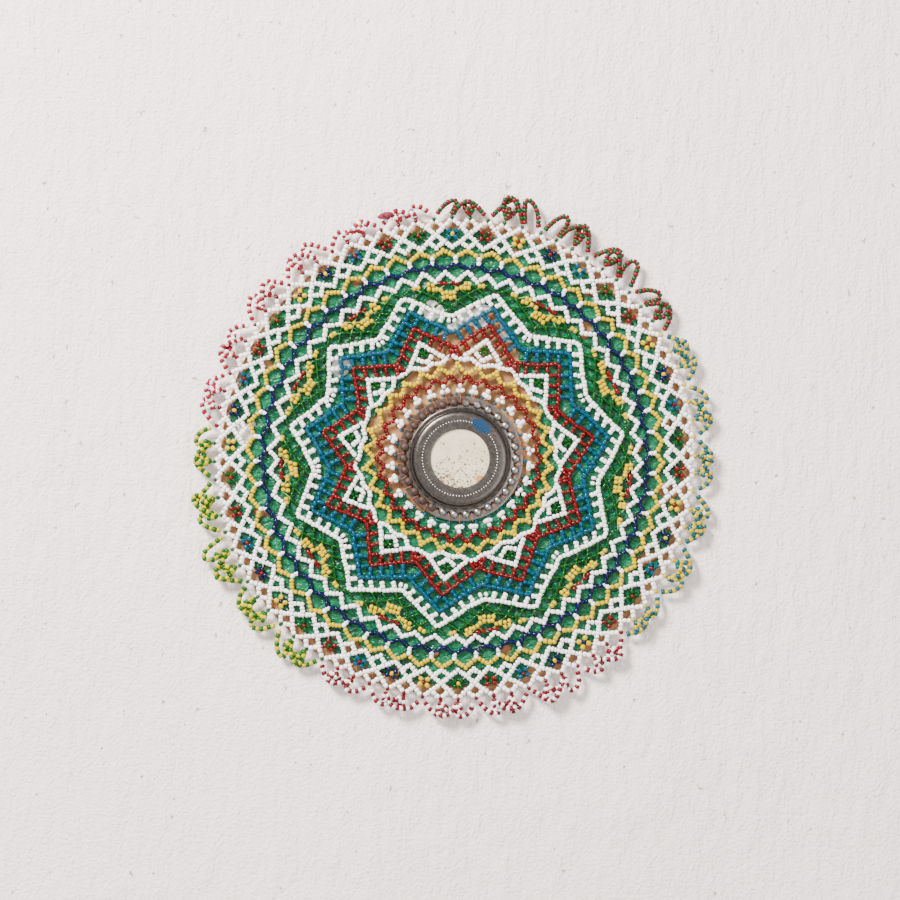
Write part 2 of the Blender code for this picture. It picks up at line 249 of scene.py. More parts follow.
leather = Finish("leather", roughness=0.72)
hide = leather.clouds(55.0, 5.0, 0.6)
stain = leather.clouds(16.0, 3.0, 0.55).between(0.42, 0.66)
tan = leather.mix(hide.between(0.3, 0.7), (0.29, 0.125, 0.042, 1.0), (0.43, 0.225, 0.09, 1.0))
front = leather.mix(stain * 0.55, tan, (0.17, 0.068, 0.022, 1.0))
rough_side = leather.along("Y").between(-0.9 * MM, -0.3 * MM)
fluff = leather.clouds(1300.0, 4.0, 0.7)
suede = leather.mix(fluff.between(0.3, 0.7), (0.27, 0.155, 0.075, 1.0), (0.52, 0.36, 0.22, 1.0))
leather.feed("Base Color", leather.mix(rough_side, front, suede))
grain = leather.node("ShaderNodeTexVoronoi", {}, {"Vector": leather.place, "Scale": 1500.0})
leather.feed("Roughness", 0.6 + hide * 0.2 + rough_side * 0.15)
leather.bump(grain * 0.5 + leather.clouds(420.0, 4.0) * 0.8 + rough_side * fluff * 2.0, 0.0003)
base = thickened(round_sheet("leather_disc", leather_edge, 40, 168, leather_face), LEATHER_THICKNESS)
finished(base, leather.material, "leather", "leather_base")

# --------------------------------------------------------------------------------------------------
# Cotton lining
# A round of plain-woven white cotton that held the satin flat. It has worn away round the boss and at many
# spots near the edge, and shows where the satin above it is torn further, as it is at the top.

COTTON_RADIUS = 108.0 * MM
COTTON_FRONT = 2.3 * MM
COTTON_THICKNESS = 0.25 * MM
COTTON_PATCHES = ((350.0, 73.0), (309.0, 72.0), (277.0, 104.0))
PATCH_RADIUS = 5.0 * MM
TEAR_LOWER = 27.0 * MM
TEAR_RISE = 19.0 * MM
LOBE_TURN = 0.14
LOBE_SPREAD = 0.38
COTTON_LOBE = 10.0 * MM
SATIN_LOBE = 29.0 * MM


def cut_away(piece, keep):
    """Cut a sheet along the line where keep(point) crosses zero, and drop the negative side."""
    shape = bmesh.new()
    shape.from_mesh(piece.data)
    worth = {vertex: keep(vertex.co) for vertex in shape.verts}
    crossing = [edge for edge in shape.edges if worth[edge.verts[0]] * worth[edge.verts[1]] < 0.0]
    fresh = []
    for edge in crossing:
        start, end = edge.verts
        share = worth[start] / (worth[start] - worth[end])
        vertex = bmesh.utils.edge_split(edge, start, share)[1]
        worth[vertex] = 0.0
        fresh.append(vertex)
    bmesh.ops.connect_verts(shape, verts=fresh)
    doomed = [vertex for vertex in shape.verts if worth.get(vertex, 0.0) < 0.0]
    bmesh.ops.delete(shape, geom=doomed, context="VERTS")
    shape.to_mesh(piece.data)
    shape.free()
    return piece


def ragged(spot, size, depth):
    """Noise for a torn edge: its features have a size, and it moves the edge by up to a depth."""
    return depth * (noise.noise(spot / size) + 0.5 * noise.noise(spot * 3.1 / size))


def boss_tear(spot, lobe):
    """How far a point lies outside the tear round the boss, which has a lobe towards the top."""
    turn = math.atan2(spot.x, spot.z)
    upper = 0.5 + 0.5 * math.cos(turn + 0.15)
    edge = TEAR_LOWER + TEAR_RISE * min(1.0, 1.35 * upper)
    edge += lobe * math.exp(-(((turn - LOBE_TURN) / LOBE_SPREAD) ** 2))
    return math.hypot(spot.x, spot.z) - edge + ragged(spot, 7 * MM, 3 * MM)


def patch_at(spot):
    """How far a point lies inside the nearest of the patches where the satin is gone and cotton shows."""
    best = -1.0
    for degrees, radius in COTTON_PATCHES:
        away = (spot - place(radius * MM, degrees, -spot.y)).length
        best = max(best, PATCH_RADIUS - away)
    return best + ragged(spot, 5 * MM, 3 * MM)


def rim_wear(spot):
    """Below zero where the outer band of a layer has worn through."""
    outward = min(1.0, max(0.0, (math.hypot(spot.x - NET_DRIFT, spot.z) / MM - 84.0) / 20.0))
    cloud = noise.noise(spot / (11 * MM)) + 0.45 * noise.noise(spot / (4 * MM) + Vector((7.0, 3.0, 1.0)))
    return 0.86 - 0.46 * outward + cloud


def cotton_left(spot):
    """Above zero where the cotton still is: the patches, and a ring that stays hidden under the satin."""
    hidden = min(boss_tear(spot, COTTON_LOBE) - 9 * MM, 6 * MM * (rim_wear(spot) - 0.5))
    return max(hidden, patch_at(spot) + 3 * MM)


def weave(graph, threads):
    """A plain weave's height: over and under in both directions."""
    warp = (graph.along("X") * (2 * math.pi * threads)).math("SINE")
    weft = (graph.along("Z") * (2 * math.pi * threads)).math("SINE")
    return (warp * weft) * 0.5 + 0.5


cotton = Finish("cotton", roughness=0.9)
soil = cotton.clouds(60.0, 4.0).between(0.45, 0.75)
cotton.feed("Base Color", cotton.mix(soil * 0.6, (0.80, 0.79, 0.75, 1.0), (0.52, 0.47, 0.38, 1.0)))
cotton.bump(weave(cotton, 900.0), 0.00012)
lining = round_sheet(
    "cotton_round", lambda degrees: COTTON_RADIUS, 72, 216, lambda spot: COTTON_FRONT - 0.1 * MM, 0.24
)
cut_away(lining, cotton_left)
thickened(lining, COTTON_THICKNESS)
finished(lining, cotton.material, "cotton", "cotton_lining")

# --------------------------------------------------------------------------------------------------
# Green satin
# A round of glossy emerald satin under the net, crinkled by its sewing. It has torn away round the upper side
# of the boss, and in spots elsewhere, where the leather or the cotton shows.

SATIN_RADIUS = 112.5 * MM
SATIN_FRONT = 2.95 * MM
SATIN_THICKNESS = 0.15 * MM


def satin_edge(degrees):
    """The frayed outer edge."""
    turn = math.radians(degrees)
    wave = math.sin(3 * turn + 1.0) + 0.7 * math.sin(7 * turn) + 0.5 * math.sin(13 * turn + 2.0)
    return SATIN_RADIUS - 1.0 * MM + 0.6 * MM * wave


def satin_face(spot):
    """The satin's height above the wall: crinkles that stay between the cotton and the net."""
    fold = noise.noise(spot / (6 * MM)) + 0.6 * noise.noise(spot / (2.4 * MM))
    return SATIN_FRONT - 0.12 * MM + 0.12 * MM * fold


def satin_left(spot):
    """Above zero where the satin still is."""
    return min(boss_tear(spot, SATIN_LOBE), 6 * MM * rim_wear(spot), -patch_at(spot))


satin = Finish("green_satin", specular_ior_level=0.3)
shade = satin.clouds(90.0, 4.0, 0.6).between(0.3, 0.7)
depth = satin.mix(shade, (0.0, 0.036, 0.013, 1.0), (0.0, 0.118, 0.046, 1.0))
fold = satin.clouds(230.0, 2.0, 0.5, (1.0, 1.0, 1.7))
# The fold ridges are painted a lighter green: a painted sheen along the crinkles.
ridge = 1.0 - (fold - 0.5).math("ABSOLUTE").between(0.0, 0.05)
satin.feed("Base Color", satin.mix(ridge * 0.45, depth, (0.0, 0.26, 0.115, 1.0)))
satin.feed("Roughness", 0.16 + satin.clouds(260.0, 3.0) * 0.2)
satin.bump(fold + ridge * 0.10 + satin.clouds(700.0, 2.0) * 0.12, 0.0020)
cloth = round_sheet("green_satin_round", satin_edge, 110, 336, satin_face, 0.23)
cut_away(cloth, satin_left)
thickened(cloth, SATIN_THICKNESS)
finished(cloth, satin.material, "green_cloth", "green_cloth")

# --------------------------------------------------------------------------------------------------
# Steel boss
# A cap stamped from thin sheet: a raised rim of domes with a sewing hole between each pair, a groove, and a
# plateau with a ring of small embossed dots round the mirror. Rust has browned its left side.

BOSS_BACK = 4.16 * MM
SHEET = 0.5 * MM
FLANGE_TOP = BOSS_BACK + SHEET
PLATEAU_TOP = FLANGE_TOP + 3.6 * MM
OPENING = 14.3 * MM
HOLE_CIRCLE = 27.0 * MM
HOLE_RADIUS = 0.85 * MM
DOME_CIRCLE = 27.4 * MM
HOLES = 30
DOT_CIRCLE = 18.3 * MM
DOTS = 80
LATHE_STEPS = 144
BOSS_PROFILE = (
    (OPENING, PLATEAU_TOP - 0.25 * MM),
    (OPENING + 0.15 * MM, PLATEAU_TOP - 0.06 * MM),
    (OPENING + 0.4 * MM, PLATEAU_TOP),
    (DOT_CIRCLE, PLATEAU_TOP + 0.05 * MM),
    (20.6 * MM, PLATEAU_TOP),
    (21.6 * MM, PLATEAU_TOP - 0.12 * MM),
    (22.3 * MM, PLATEAU_TOP - 0.5 * MM),
    (22.8 * MM, PLATEAU_TOP - 1.15 * MM),
    (23.1 * MM, PLATEAU_TOP - 1.9 * MM),
    (23.45 * MM, PLATEAU_TOP - 2.05 * MM),
    (23.9 * MM, PLATEAU_TOP - 2.0 * MM),
    (24.5 * MM, FLANGE_TOP + 0.75 * MM),
    (25.2 * MM, FLANGE_TOP + 0.2 * MM),
    (26.0 * MM, FLANGE_TOP),
    (29.6 * MM, FLANGE_TOP),
    (30.2 * MM, FLANGE_TOP + 0.02 * MM),
    (BOSS_EDGE, FLANGE_TOP - 0.1 * MM),
)


def lathe(name, profile, steps, thickness):
    """Spin a profile of (radius, height above the wall) into a sheet that thickens toward the wall."""
    shape = bmesh.new()
    rings = []
    for radius, height in profile:
        ring = [place(radius, 360.0 * step / steps, height) for step in range(steps)]
        rings.append([shape.verts.new((spot.x - drift(radius), spot.y, spot.z)) for spot in ring])
    for inner, outer in zip(rings, rings[1:]):
        for step in range(steps):
            after = (step + 1) % steps
            shape.faces.new((inner[step], inner[after], outer[after], outer[step]))
    mesh = bpy.data.meshes.new(name)
    shape.to_mesh(mesh)
    shape.free()
    piece = bpy.data.objects.new(name, mesh)
    bpy.context.scene.collection.objects.link(piece)
    return thickened(piece, thickness)


def instancer(name, inputs):
    """Start a geometry tree with a geometry input, more named inputs and a geometry output."""
    tree = bpy.data.node_groups.new(name, "GeometryNodeTree")
    tree.interface.new_socket("Geometry", in_out="INPUT", socket_type="NodeSocketGeometry")
    for label, kind in inputs:
        tree.interface.new_socket(label, in_out="INPUT", socket_type="NodeSocket" + kind)
    tree.interface.new_socket("Geometry", in_out="OUTPUT", socket_type="NodeSocketGeometry")
    graph = Graph(tree)
    source = tree.nodes.new("NodeGroupInput")
    given = {socket.name: Value(graph, socket) for socket in source.outputs if socket.name}
    return graph, given


def deliver(graph, *geometries):
    """Join the geometries and send them out of the tree."""
    join = graph.tree.nodes.new("GeometryNodeJoinGeometry")
    for geometry in geometries:
        graph.tree.links.new(geometry.socket, join.inputs[0])
    output = graph.tree.nodes.new("NodeGroupOutput")
    graph.tree.links.new(join.outputs[0], output.inputs[0])


def run_tree(piece, graph, **values):
    """Put the tree on the piece with its inputs set, and make the result a plain mesh."""
    modifier = piece.modifiers.new(graph.tree.name, "NODES")
    modifier.node_group = graph.tree
    for item in graph.tree.interface.items_tree:
        label = item.name.replace(" ", "_").lower()
        if label in values:
            modifier[item.identifier] = values[label]
    return settled(piece)


def hidden_source(name, shape):
    """A mesh that a tree copies. It is removed once everything that reads it is made."""
    mesh = bpy.data.meshes.new(name)
    shape.to_mesh(mesh)
    shape.free()
    mesh.shade_smooth()
    source = bpy.data.objects.new(name, mesh)
    bpy.context.scene.collection.objects.link(source)
    return source


def discard(source):
    """Remove a source and its mesh."""
    mesh = source.data
    bpy.data.objects.remove(source)
    bpy.data.meshes.remove(mesh)


def spun(profile, segments, closed):
    """A solid of revolution about Z, from (radius, height) points joined end to start where closed."""
    shape = bmesh.new()
    rings = []
    for radius, height in profile:
        if radius == 0.0:
            rings.append([shape.verts.new((0.0, 0.0, height))] * segments)
            continue
        turns = [2 * math.pi * step / segments for step in range(segments)]
        rings.append([shape.verts.new((radius * math.cos(t), radius * math.sin(t), height)) for t in turns])
    pairs = list(zip(rings, rings[1:]))
    if closed:
        pairs.append((rings[-1], rings[0]))
    for lower, upper in pairs:
        for step in range(segments):
            after = (step + 1) % segments
            corners = [lower[step], lower[after], upper[after], upper[step]]
            shape.faces.new(sorted(set(corners), key=corners.index))
    return shape


def bell_tree():
    """Copies of a bell shape on the points, the right way out, each a little different in size."""
    graph, given = instancer("raised bells", (("Bell", "Object"), ("Spread", "Float"), ("Seed", "Int")))
    bell = graph.node("GeometryNodeObjectInfo", {}, {"Object": given["Bell"]}, out="Geometry")
    least = 1.0 - given["Spread"]
    size = graph.node(
        "FunctionNodeRandomValue", {}, {2: least, 3: 1.0 + given["Spread"], "Seed": given["Seed"]}, out=1
    )
    copies = graph.node(
        "GeometryNodeInstanceOnPoints",
        {},
        {"Points": given["Geometry"], "Instance": bell, "Rotation": (math.pi / 2, 0.0, 0.0), "Scale": size},
    )
    deliver(graph, graph.node("GeometryNodeRealizeInstances", {}, {0: copies}))
    return graph


def bells(name, circle, count, first, height, radius, rise, segments, spread):
    """A ring of bells raised from the sheet."""
    steps = 6
    profile = [(0.0, rise)]
    for step in range(1, steps + 1):
        share = step / steps
        profile.append((radius * share, rise * math.cos(0.5 * math.pi * share) ** 0.7))
    profile.append((radius, -0.1 * MM))
    profile.append((0.0, -0.1 * MM))
    source = hidden_source(name + "_bell", spun(profile[::-1], segments, False))
    points = bpy.data.meshes.new(name)
    spots = [place(circle, first + 360.0 * index / count, height) for index in range(count)]
    points.from_pydata(spots, [], [])
    piece = bpy.data.objects.new(name, points)
    bpy.context.scene.collection.objects.link(piece)
    run_tree(piece, bell_tree(), bell=source, spread=spread, seed=3)
    discard(source)
    return piece


def joined(main, *others):
    """One mesh from several pieces of the same sheet."""
    shape = bmesh.new()
    for piece in (main, *others):
        shape.from_mesh(piece.data)
    shape.to_mesh(main.data)
    shape.free()
    for piece in others:
        discard(piece)
    return main


def punched(piece, circle, count, radius):
    """Cut a ring of round holes."""
    shape = bmesh.new()
    for index in range(count):
        spot = place(circle, 360.0 * index / count, FLANGE_TOP)
        facing = Matrix.Translation(spot) @ Matrix.Rotation(math.pi / 2, 4, "X")
        bmesh.ops.create_cone(
            shape, cap_ends=True, segments=14, radius1=radius, radius2=radius, depth=6 * SHEET, matrix=facing
        )
    punch = hidden_source("punch", shape)
    cut = piece.modifiers.new("holes", "BOOLEAN")
    cut.operation = "DIFFERENCE"
    cut.object = punch
    settled(piece)
    discard(punch)
    return piece


steel = Finish("stamped_steel", metallic=1.0)
around, outward = steel.angle()
brushed = steel.clouds(900.0, 3.0, 0.6)
blotch = steel.clouds(230.0, 5.0, 0.65)
metal = steel.mix(brushed.between(0.3, 0.7), (0.090, 0.078, 0.070, 1.0), (0.135, 0.120, 0.110, 1.0))
left_side = (((around - 0.80) * (2 * math.pi)).math("COSINE")).between(-0.05, 0.55)
on_flange = outward.between(24.6 * MM, 26.0 * MM)
rust_cover = (left_side * 0.85 + 0.18) * on_flange + (blotch - 0.5) * 1.5 + 0.02 - (1.0 - on_flange) * 0.28
rust = rust_cover.between(0.32, 0.62)
rust_tone = steel.mix(
    steel.clouds(700.0, 4.0, 0.7).between(0.4, 0.62), (0.016, 0.009, 0.006, 1.0), (0.060, 0.023, 0.011, 1.0)
)
metal = steel.mix((1.0 - left_side) * on_flange * 0.55, metal, (0.24, 0.225, 0.215, 1.0))
# The groove's ring is painted darker: painted shade at the foot of the plateau.
groove = 1.0 - (outward - 23.35 * MM).math("ABSOLUTE").between(0.1 * MM, 0.55 * MM)
# The tops of the dots and domes are painted lighter: partly rubbed bright, partly a painted highlight.
polish_and_highlight = (0.0 - steel.along("Y") - PLATEAU_TOP).between(0.1 * MM, 0.3 * MM)
above_flange = (0.0 - steel.along("Y") - FLANGE_TOP).between(0.55 * MM, 1.1 * MM)
crown = above_flange * outward.between(24.9 * MM, 25.3 * MM)
metal = steel.mix((polish_and_highlight * 0.6).math("MAXIMUM", crown * 0.35), metal, (0.50, 0.48, 0.46, 1.0))
# Painted shade in the groove, together with real dirt in blotches.
grime_and_groove_shade = (groove * 0.85).math("MAXIMUM", (blotch.between(0.58, 0.78)) * 0.3)
grimed_and_shaded = steel.mix(grime_and_groove_shade, metal, (0.02, 0.016, 0.012, 1.0))
rusted = steel.mix(rust, grimed_and_shaded, rust_tone)
PAINT_ANGLE = math.radians(33.5)
PAINT_CIRCLE = 19.0 * MM
off_centre = steel.node(
    "ShaderNodeVectorMath",
    {"operation": "SUBTRACT"},
    {0: steel.place, 1: (PAINT_CIRCLE * math.sin(PAINT_ANGLE), 0.0, PAINT_CIRCLE * math.cos(PAINT_ANGLE))},
)
turned_back = steel.node(
    "ShaderNodeVectorRotate",
    {"rotation_type": "Y_AXIS"},
    {"Vector": off_centre, "Angle": -PAINT_ANGLE},
)
squeezed = steel.node(
    "ShaderNodeVectorMath",
    {"operation": "MULTIPLY"},
    {0: turned_back, 1: (1.0 / 5.1, 0.0, 1.0 / 2.9)},
)
reach = steel.node("ShaderNodeVectorMath", {"operation": "LENGTH"}, {0: squeezed}, out="Value")
paint = 1.0 - (reach + (steel.clouds(500.0, 3.0) - 0.5) * 0.0003).between(0.98 * MM, 1.03 * MM)
steel.feed("Base Color", steel.mix(paint, rusted, (0.001, 0.030, 0.078, 1.0)))
dull = rust.math("MAXIMUM", paint)
steel.feed("Metallic", 1.0 - dull * 0.85)
steel.feed("Roughness", 0.24 + brushed * 0.14 + rust * 0.30)
steel.bump(brushed * 0.25 + blotch * rust * 1.4, 0.00022)

shell = lathe("boss_cap", BOSS_PROFILE, LATHE_STEPS, SHEET)
punched(shell, HOLE_CIRCLE, HOLES, HOLE_RADIUS)
domes = bells("boss_domes", DOME_CIRCLE, HOLES, 180.0 / HOLES, FLANGE_TOP, 2.05 * MM, 1.2 * MM, 14, 0.06)
dots = bells("boss_dots", DOT_CIRCLE, DOTS, 1.0, PLATEAU_TOP + 0.02 * MM, 0.58 * MM, 0.42 * MM, 8, 0.12)
joined(shell, domes, dots)
shell.data.shade_smooth()
shell.data.set_sharp_from_angle(angle=math.radians(38))
finished(shell, steel.material, "steel", "boss_shell")

# --------------------------------------------------------------------------------------------------
# Mirror and its backing
# A small round glass whose cream colour is a painted reflection of the pale room, with brown specks in its
# lower half and an orange spot at the lower right. A tin disc behind it holds it up inside the boss.

GLASS_FRONT = BOSS_BACK + 3.3 * MM
GLASS_BACK = GLASS_FRONT - 1.8 * MM
GLASS_RADIUS = OPENING + 1.5 * MM
GLASS_PROFILE = (
    (0.0, GLASS_FRONT),
    (0.6 * GLASS_RADIUS, GLASS_FRONT),
    (GLASS_RADIUS - 0.3 * MM, GLASS_FRONT),
    (GLASS_RADIUS, GLASS_FRONT - 0.3 * MM),
    (GLASS_RADIUS, GLASS_BACK + 0.2 * MM),
    (GLASS_RADIUS - 0.2 * MM, GLASS_BACK),
    (0.0, GLASS_BACK),
)

silvering = Finish("aged_mirror", metallic=0.35, coat_weight=0.6, coat_roughness=0.06)
lower_half = 1.0 - silvering.along("Z").between(-7 * MM, 5 * MM)
mottle = silvering.clouds(120.0, 5.0, 0.62)
# The cream base colour is a painted reflection of the pale room; the brown specks and the orange spot are the
# glass's own.
cream = silvering.mix(mottle.between(0.35, 0.7), (0.88, 0.76, 0.55, 1.0), (0.78, 0.64, 0.42, 1.0))
speck = silvering.clouds(900.0, 5.0, 0.7) + lower_half * 0.085 + (mottle - 0.5) * 0.3
specks = speck.between(0.60, 0.65)
specked = silvering.mix(specks, cream, (0.13, 0.075, 0.03, 1.0))
corner = silvering.node(
    "ShaderNodeVectorMath",
    {"operation": "DISTANCE"},
    {0: silvering.place, 1: (9.2 * MM, -GLASS_FRONT, -10.2 * MM)},
    out="Value",
)
orange = (1.0 - (corner + (mottle - 0.5) * 0.012).between(0.9 * MM, 3.0 * MM)) * 0.8
silvering.feed("Base Color", silvering.mix(orange, specked, (0.55, 0.22, 0.05, 1.0)))
silvering.feed("Roughness", 0.22 + specks * 0.4)
silvering.bump(mottle, 0.0001)
glass = hidden_source("mirror_pane", spun(GLASS_PROFILE[::-1], 72, False))
glass.data.transform(Matrix.Rotation(math.pi / 2, 4, "X"))
glass.data.set_sharp_from_angle(angle=math.radians(30))
finished(glass, silvering.material, "mirror", "mirror_glass")

tin = Finish("tin", metallic=1.0)
tin_blotch = tin.clouds(180.0, 4.0)
tin.feed("Base Color", tin.mix(tin_blotch, (0.38, 0.37, 0.35, 1.0), (0.62, 0.61, 0.58, 1.0)))
tin.feed("Roughness", 0.35 + tin_blotch * 0.25)
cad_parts["mirror_backing"].data.materials.clear()
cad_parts["mirror_backing"].data.materials.append(tin.material)

# --------------------------------------------------------------------------------------------------
# Boss lashing
# Waxed brown thread sews the boss on: up through each hole, over the flange's edge and down beside the first
# beads. A few ends have come loose at the right.

THREAD_RADIUS = 0.17 * MM
BEAD_HEIGHT = 4.4 * MM
NET_SEED = 2

# Every bead's small offset is drawn from one seeded source, so that each build gives the same net.
noise.seed_set(NET_SEED)


def wander(spot, amount=0.5):
    """Move a point of the net a little, the same way for every string that meets there."""
    push = 1.3 * noise.noise_vector(spot / (12 * MM)) + 0.9 * noise.noise_vector(spot / (4.5 * MM))
    return spot + amount * MM * Vector((push.x, 0.35 * push.y, push.z))


class Strings:
    """Beads on their threads as a line mesh: an edge for each bead, and bare edges for thread alone."""

    def __init__(self):
        self.spots = []
        self.edges = []
        self.second = []
        self.bare = []

    def run(self, points, pitch=None, second=(0,), bare=False):
        """Thread beads of about one pitch along a path. second says in turn which take the second colour."""
        steps = [(b - a).length for a, b in zip(points, points[1:])]
        total = sum(steps)
        count = len(steps) if pitch is None else max(1, round(total / pitch))
        marks = [0.0]
        for step in steps:
            marks.append(marks[-1] + step)
        first = len(self.spots)
        for index in range(count + 1):
            reach = total * index / count
            leg = min(len(steps) - 1, sum(mark < reach - 1e-9 for mark in marks[1:]))
            share = (reach - marks[leg]) / steps[leg]
            self.spots.append(points[leg].lerp(points[leg + 1], share))
        for index in range(count):
            self.edges.append((first + index, first + index + 1))
            self.second.append(second[index % len(second)])
            self.bare.append(bare)

    def one(self, centre, along, length):
        """One bead."""
        half = along.normalized() * (length / 2)
        self.run([centre - half, centre + half])

    def middles(self):
        """The middle of each bead."""
        return [(self.spots[a] + self.spots[b]) / 2 for a, b in self.edges]

    def make_way(self, others, room):
        """Leave bare thread where beads of other strings sit."""
        for index, middle in enumerate(self.middles()):
            if min((middle - other).length for other in others) < room:
                self.bare[index] = True

    def line_mesh(self, name):
        """The line mesh as an object, with what the tree reads."""
        mesh = bpy.data.meshes.new(name)
        mesh.from_pydata(self.spots, self.edges, [])
        second = [float(value) for value in self.second]
        mesh.attributes.new("second", "FLOAT", "EDGE").data.foreach_set("value", second)
        mesh.attributes.new("bare", "BOOLEAN", "EDGE").data.foreach_set("value", self.bare)
        piece = bpy.data.objects.new(name, mesh)
        bpy.context.scene.collection.objects.link(piece)
        return piece


def string_tree():
    """Beads on the edges of a line mesh, each tilted and sized differently, and thread along all edges."""
    inputs = (
        ("Bead", "Object"),
        ("Width", "Float"),
        ("Fill", "Float"),
        ("Bead finish", "Material"),
        ("Thread radius", "Float"),
        ("Thread finish", "Material"),
        ("Loose", "Float"),
        ("Seed", "Int"),
    )
    graph, given = instancer("strung beads", inputs)
    ends = graph.node("GeometryNodeInputMeshEdgeVertices", out="Position 2")
    start = Value(graph, ends.socket.node.outputs["Position 1"])
    along = graph.node("ShaderNodeVectorMath", {"operation": "SUBTRACT"}, {0: ends, 1: start})
    capture = graph.tree.nodes.new("GeometryNodeCaptureAttribute")
    capture.domain = "EDGE"
    capture.capture_items.new("VECTOR", "Along")
    graph.tree.links.new(given["Geometry"].socket, capture.inputs["Geometry"])
    graph.tree.links.new(along.socket, capture.inputs["Along"])
    kept = Value(graph, capture.outputs["Geometry"])
    run = Value(graph, capture.outputs["Along"])
    bare = graph.node("GeometryNodeInputNamedAttribute", {"data_type": "BOOLEAN"}, {"Name": "bare"})
    strung = graph.node("FunctionNodeBooleanMath", {"operation": "NOT"}, {0: bare})
    points = graph.node("GeometryNodeMeshToPoints", {"mode": "EDGES"}, {"Mesh": kept, "Selection": strung})
    draw = {2: 0.0, 3: 1.0, "Seed": given["Seed"]}
    tone = graph.node("FunctionNodeRandomValue", {}, draw, out=1)
    stored = {"Geometry": points, "Name": "tone", "Value": tone}
    toned = graph.node("GeometryNodeStoreNamedAttribute", {}, stored)
    push = graph.node(
        "FunctionNodeRandomValue",
        {"data_type": "FLOAT_VECTOR"},
        {0: (-1.0, -0.4, -1.0), 1: (1.0, 0.4, 1.0), "Seed": given["Seed"] + 3.0},
    )
    loose = graph.node("ShaderNodeVectorMath", {"operation": "SCALE"}, {0: push, "Scale": given["Loose"]})
    shaken = graph.node("GeometryNodeSetPosition", {}, {"Geometry": toned, "Offset": loose})
    facing = graph.node("FunctionNodeAlignRotationToVector", {"axis": "Z"}, {"Vector": run})
    tilt = graph.node(
        "FunctionNodeRandomValue",
        {"data_type": "FLOAT_VECTOR"},
        {0: (-0.2, -0.2, 0.0), 1: (0.2, 0.2, 6.28), "Seed": given["Seed"] + 1.0},
    )
    tilted = graph.node(
        "FunctionNodeRotateRotation",
        {"rotation_space": "LOCAL"},
        {"Rotation": facing, "Rotate By": graph.node("FunctionNodeEulerToRotation", {}, {0: tilt})},
    )
    length = graph.node("ShaderNodeVectorMath", {"operation": "LENGTH"}, {0: run}, out="Value")
    plump = graph.node("FunctionNodeRandomValue", {}, {2: 0.9, 3: 1.07, "Seed": given["Seed"] + 2.0}, out=1)
    across = given["Width"] * plump
    scale = graph.node("ShaderNodeCombineXYZ", {}, {0: across, 1: across, 2: length * given["Fill"]})
    bead = graph.node("GeometryNodeObjectInfo", {}, {"Object": given["Bead"]}, out="Geometry")
    copies = graph.node(
        "GeometryNodeInstanceOnPoints",
        {},
        {"Points": shaken, "Instance": bead, "Rotation": tilted, "Scale": scale},
    )
    solid = graph.node("GeometryNodeRealizeInstances", {}, {0: copies})
    beads = graph.node("GeometryNodeSetMaterial", {}, {"Geometry": solid, "Material": given["Bead finish"]})
    circle = graph.node(
        "GeometryNodeCurvePrimitiveCircle", {}, {"Resolution": 4, "Radius": given["Thread radius"]}
    )
    line = graph.node("GeometryNodeMeshToCurve", {}, {"Mesh": given["Geometry"]})
    swept = {"Curve": line, "Profile Curve": circle, "Fill Caps": True}
    tube = graph.node("GeometryNodeCurveToMesh", {}, swept)
    dressed = {"Geometry": tube, "Material": given["Thread finish"]}
    thread = graph.node("GeometryNodeSetMaterial", {}, dressed)
    deliver(graph, beads, thread)
    return graph


ROUND_PROFILE = ((0.17, 0.44), (0.35, 0.5), (0.5, 0.27), (0.5, -0.27), (0.35, -0.5), (0.17, -0.44))
CUT_PROFILE = ((0.2, 0.45), (0.41, 0.5), (0.5, 0.4), (0.5, -0.4), (0.41, -0.5), (0.2, -0.45))
BEAD_SEGMENTS = 8
round_bead = hidden_source("round_bead", spun(ROUND_PROFILE[::-1], BEAD_SEGMENTS, True))
cut_bead = hidden_source("cut_bead", spun(CUT_PROFILE[::-1], BEAD_SEGMENTS, True))
strung_beads = string_tree()


def beaded(name, strings, bead_finish, thread_finish, width, bead=None, thread=0.13 * MM, loose=0.2, seed=1):
    """Make the strings into one plain mesh. loose is how far in millimetres a bead may sit off its line."""
    piece = strings.line_mesh(name)
    run_tree(
        piece,
        strung_beads,
        bead=bead or round_bead,
        width=width,
        fill=0.96,
        loose=loose * MM,
        bead_finish=bead_finish,
        thread_radius=thread,
        thread_finish=thread_finish,
        seed=seed,
    )
    piece.data.shade_smooth()
    return piece


def strung(name, strings, glass, thread_finish, width, slot, node, body="root", **more):
    """Make the strings into a mesh of glass beads, and finish it."""
    piece = beaded(name, strings, glass, thread_finish, width, **more)
    return finished(piece, None, slot, node, body=body)


def yarn_finish(name, colour):
    """A waxed thread."""
    yarn = Finish(name, roughness=0.6)
    fibre = yarn.clouds(2500.0, 2.0)
    dark = tuple(0.7 * part for part in colour[:3]) + (1.0,)
    yarn.feed("Base Color", yarn.mix(fibre, dark, colour))
    return yarn.material


def back_stitches(strings, radius, count):
    """The running stitches that sew a course on, as they show on the leather's back."""
    for index in range(count):
        first, last = (360.0 * (index + share) / count for share in (0.2, 0.75))
        inside = [place(radius, degrees, 0.5 * MM) for degrees in (first, last)]
        laid = [place(radius, degrees, -0.04 * MM) for degrees in (first, last)]
        strings.run([inside[0], laid[0], laid[1], inside[1]], bare=True)


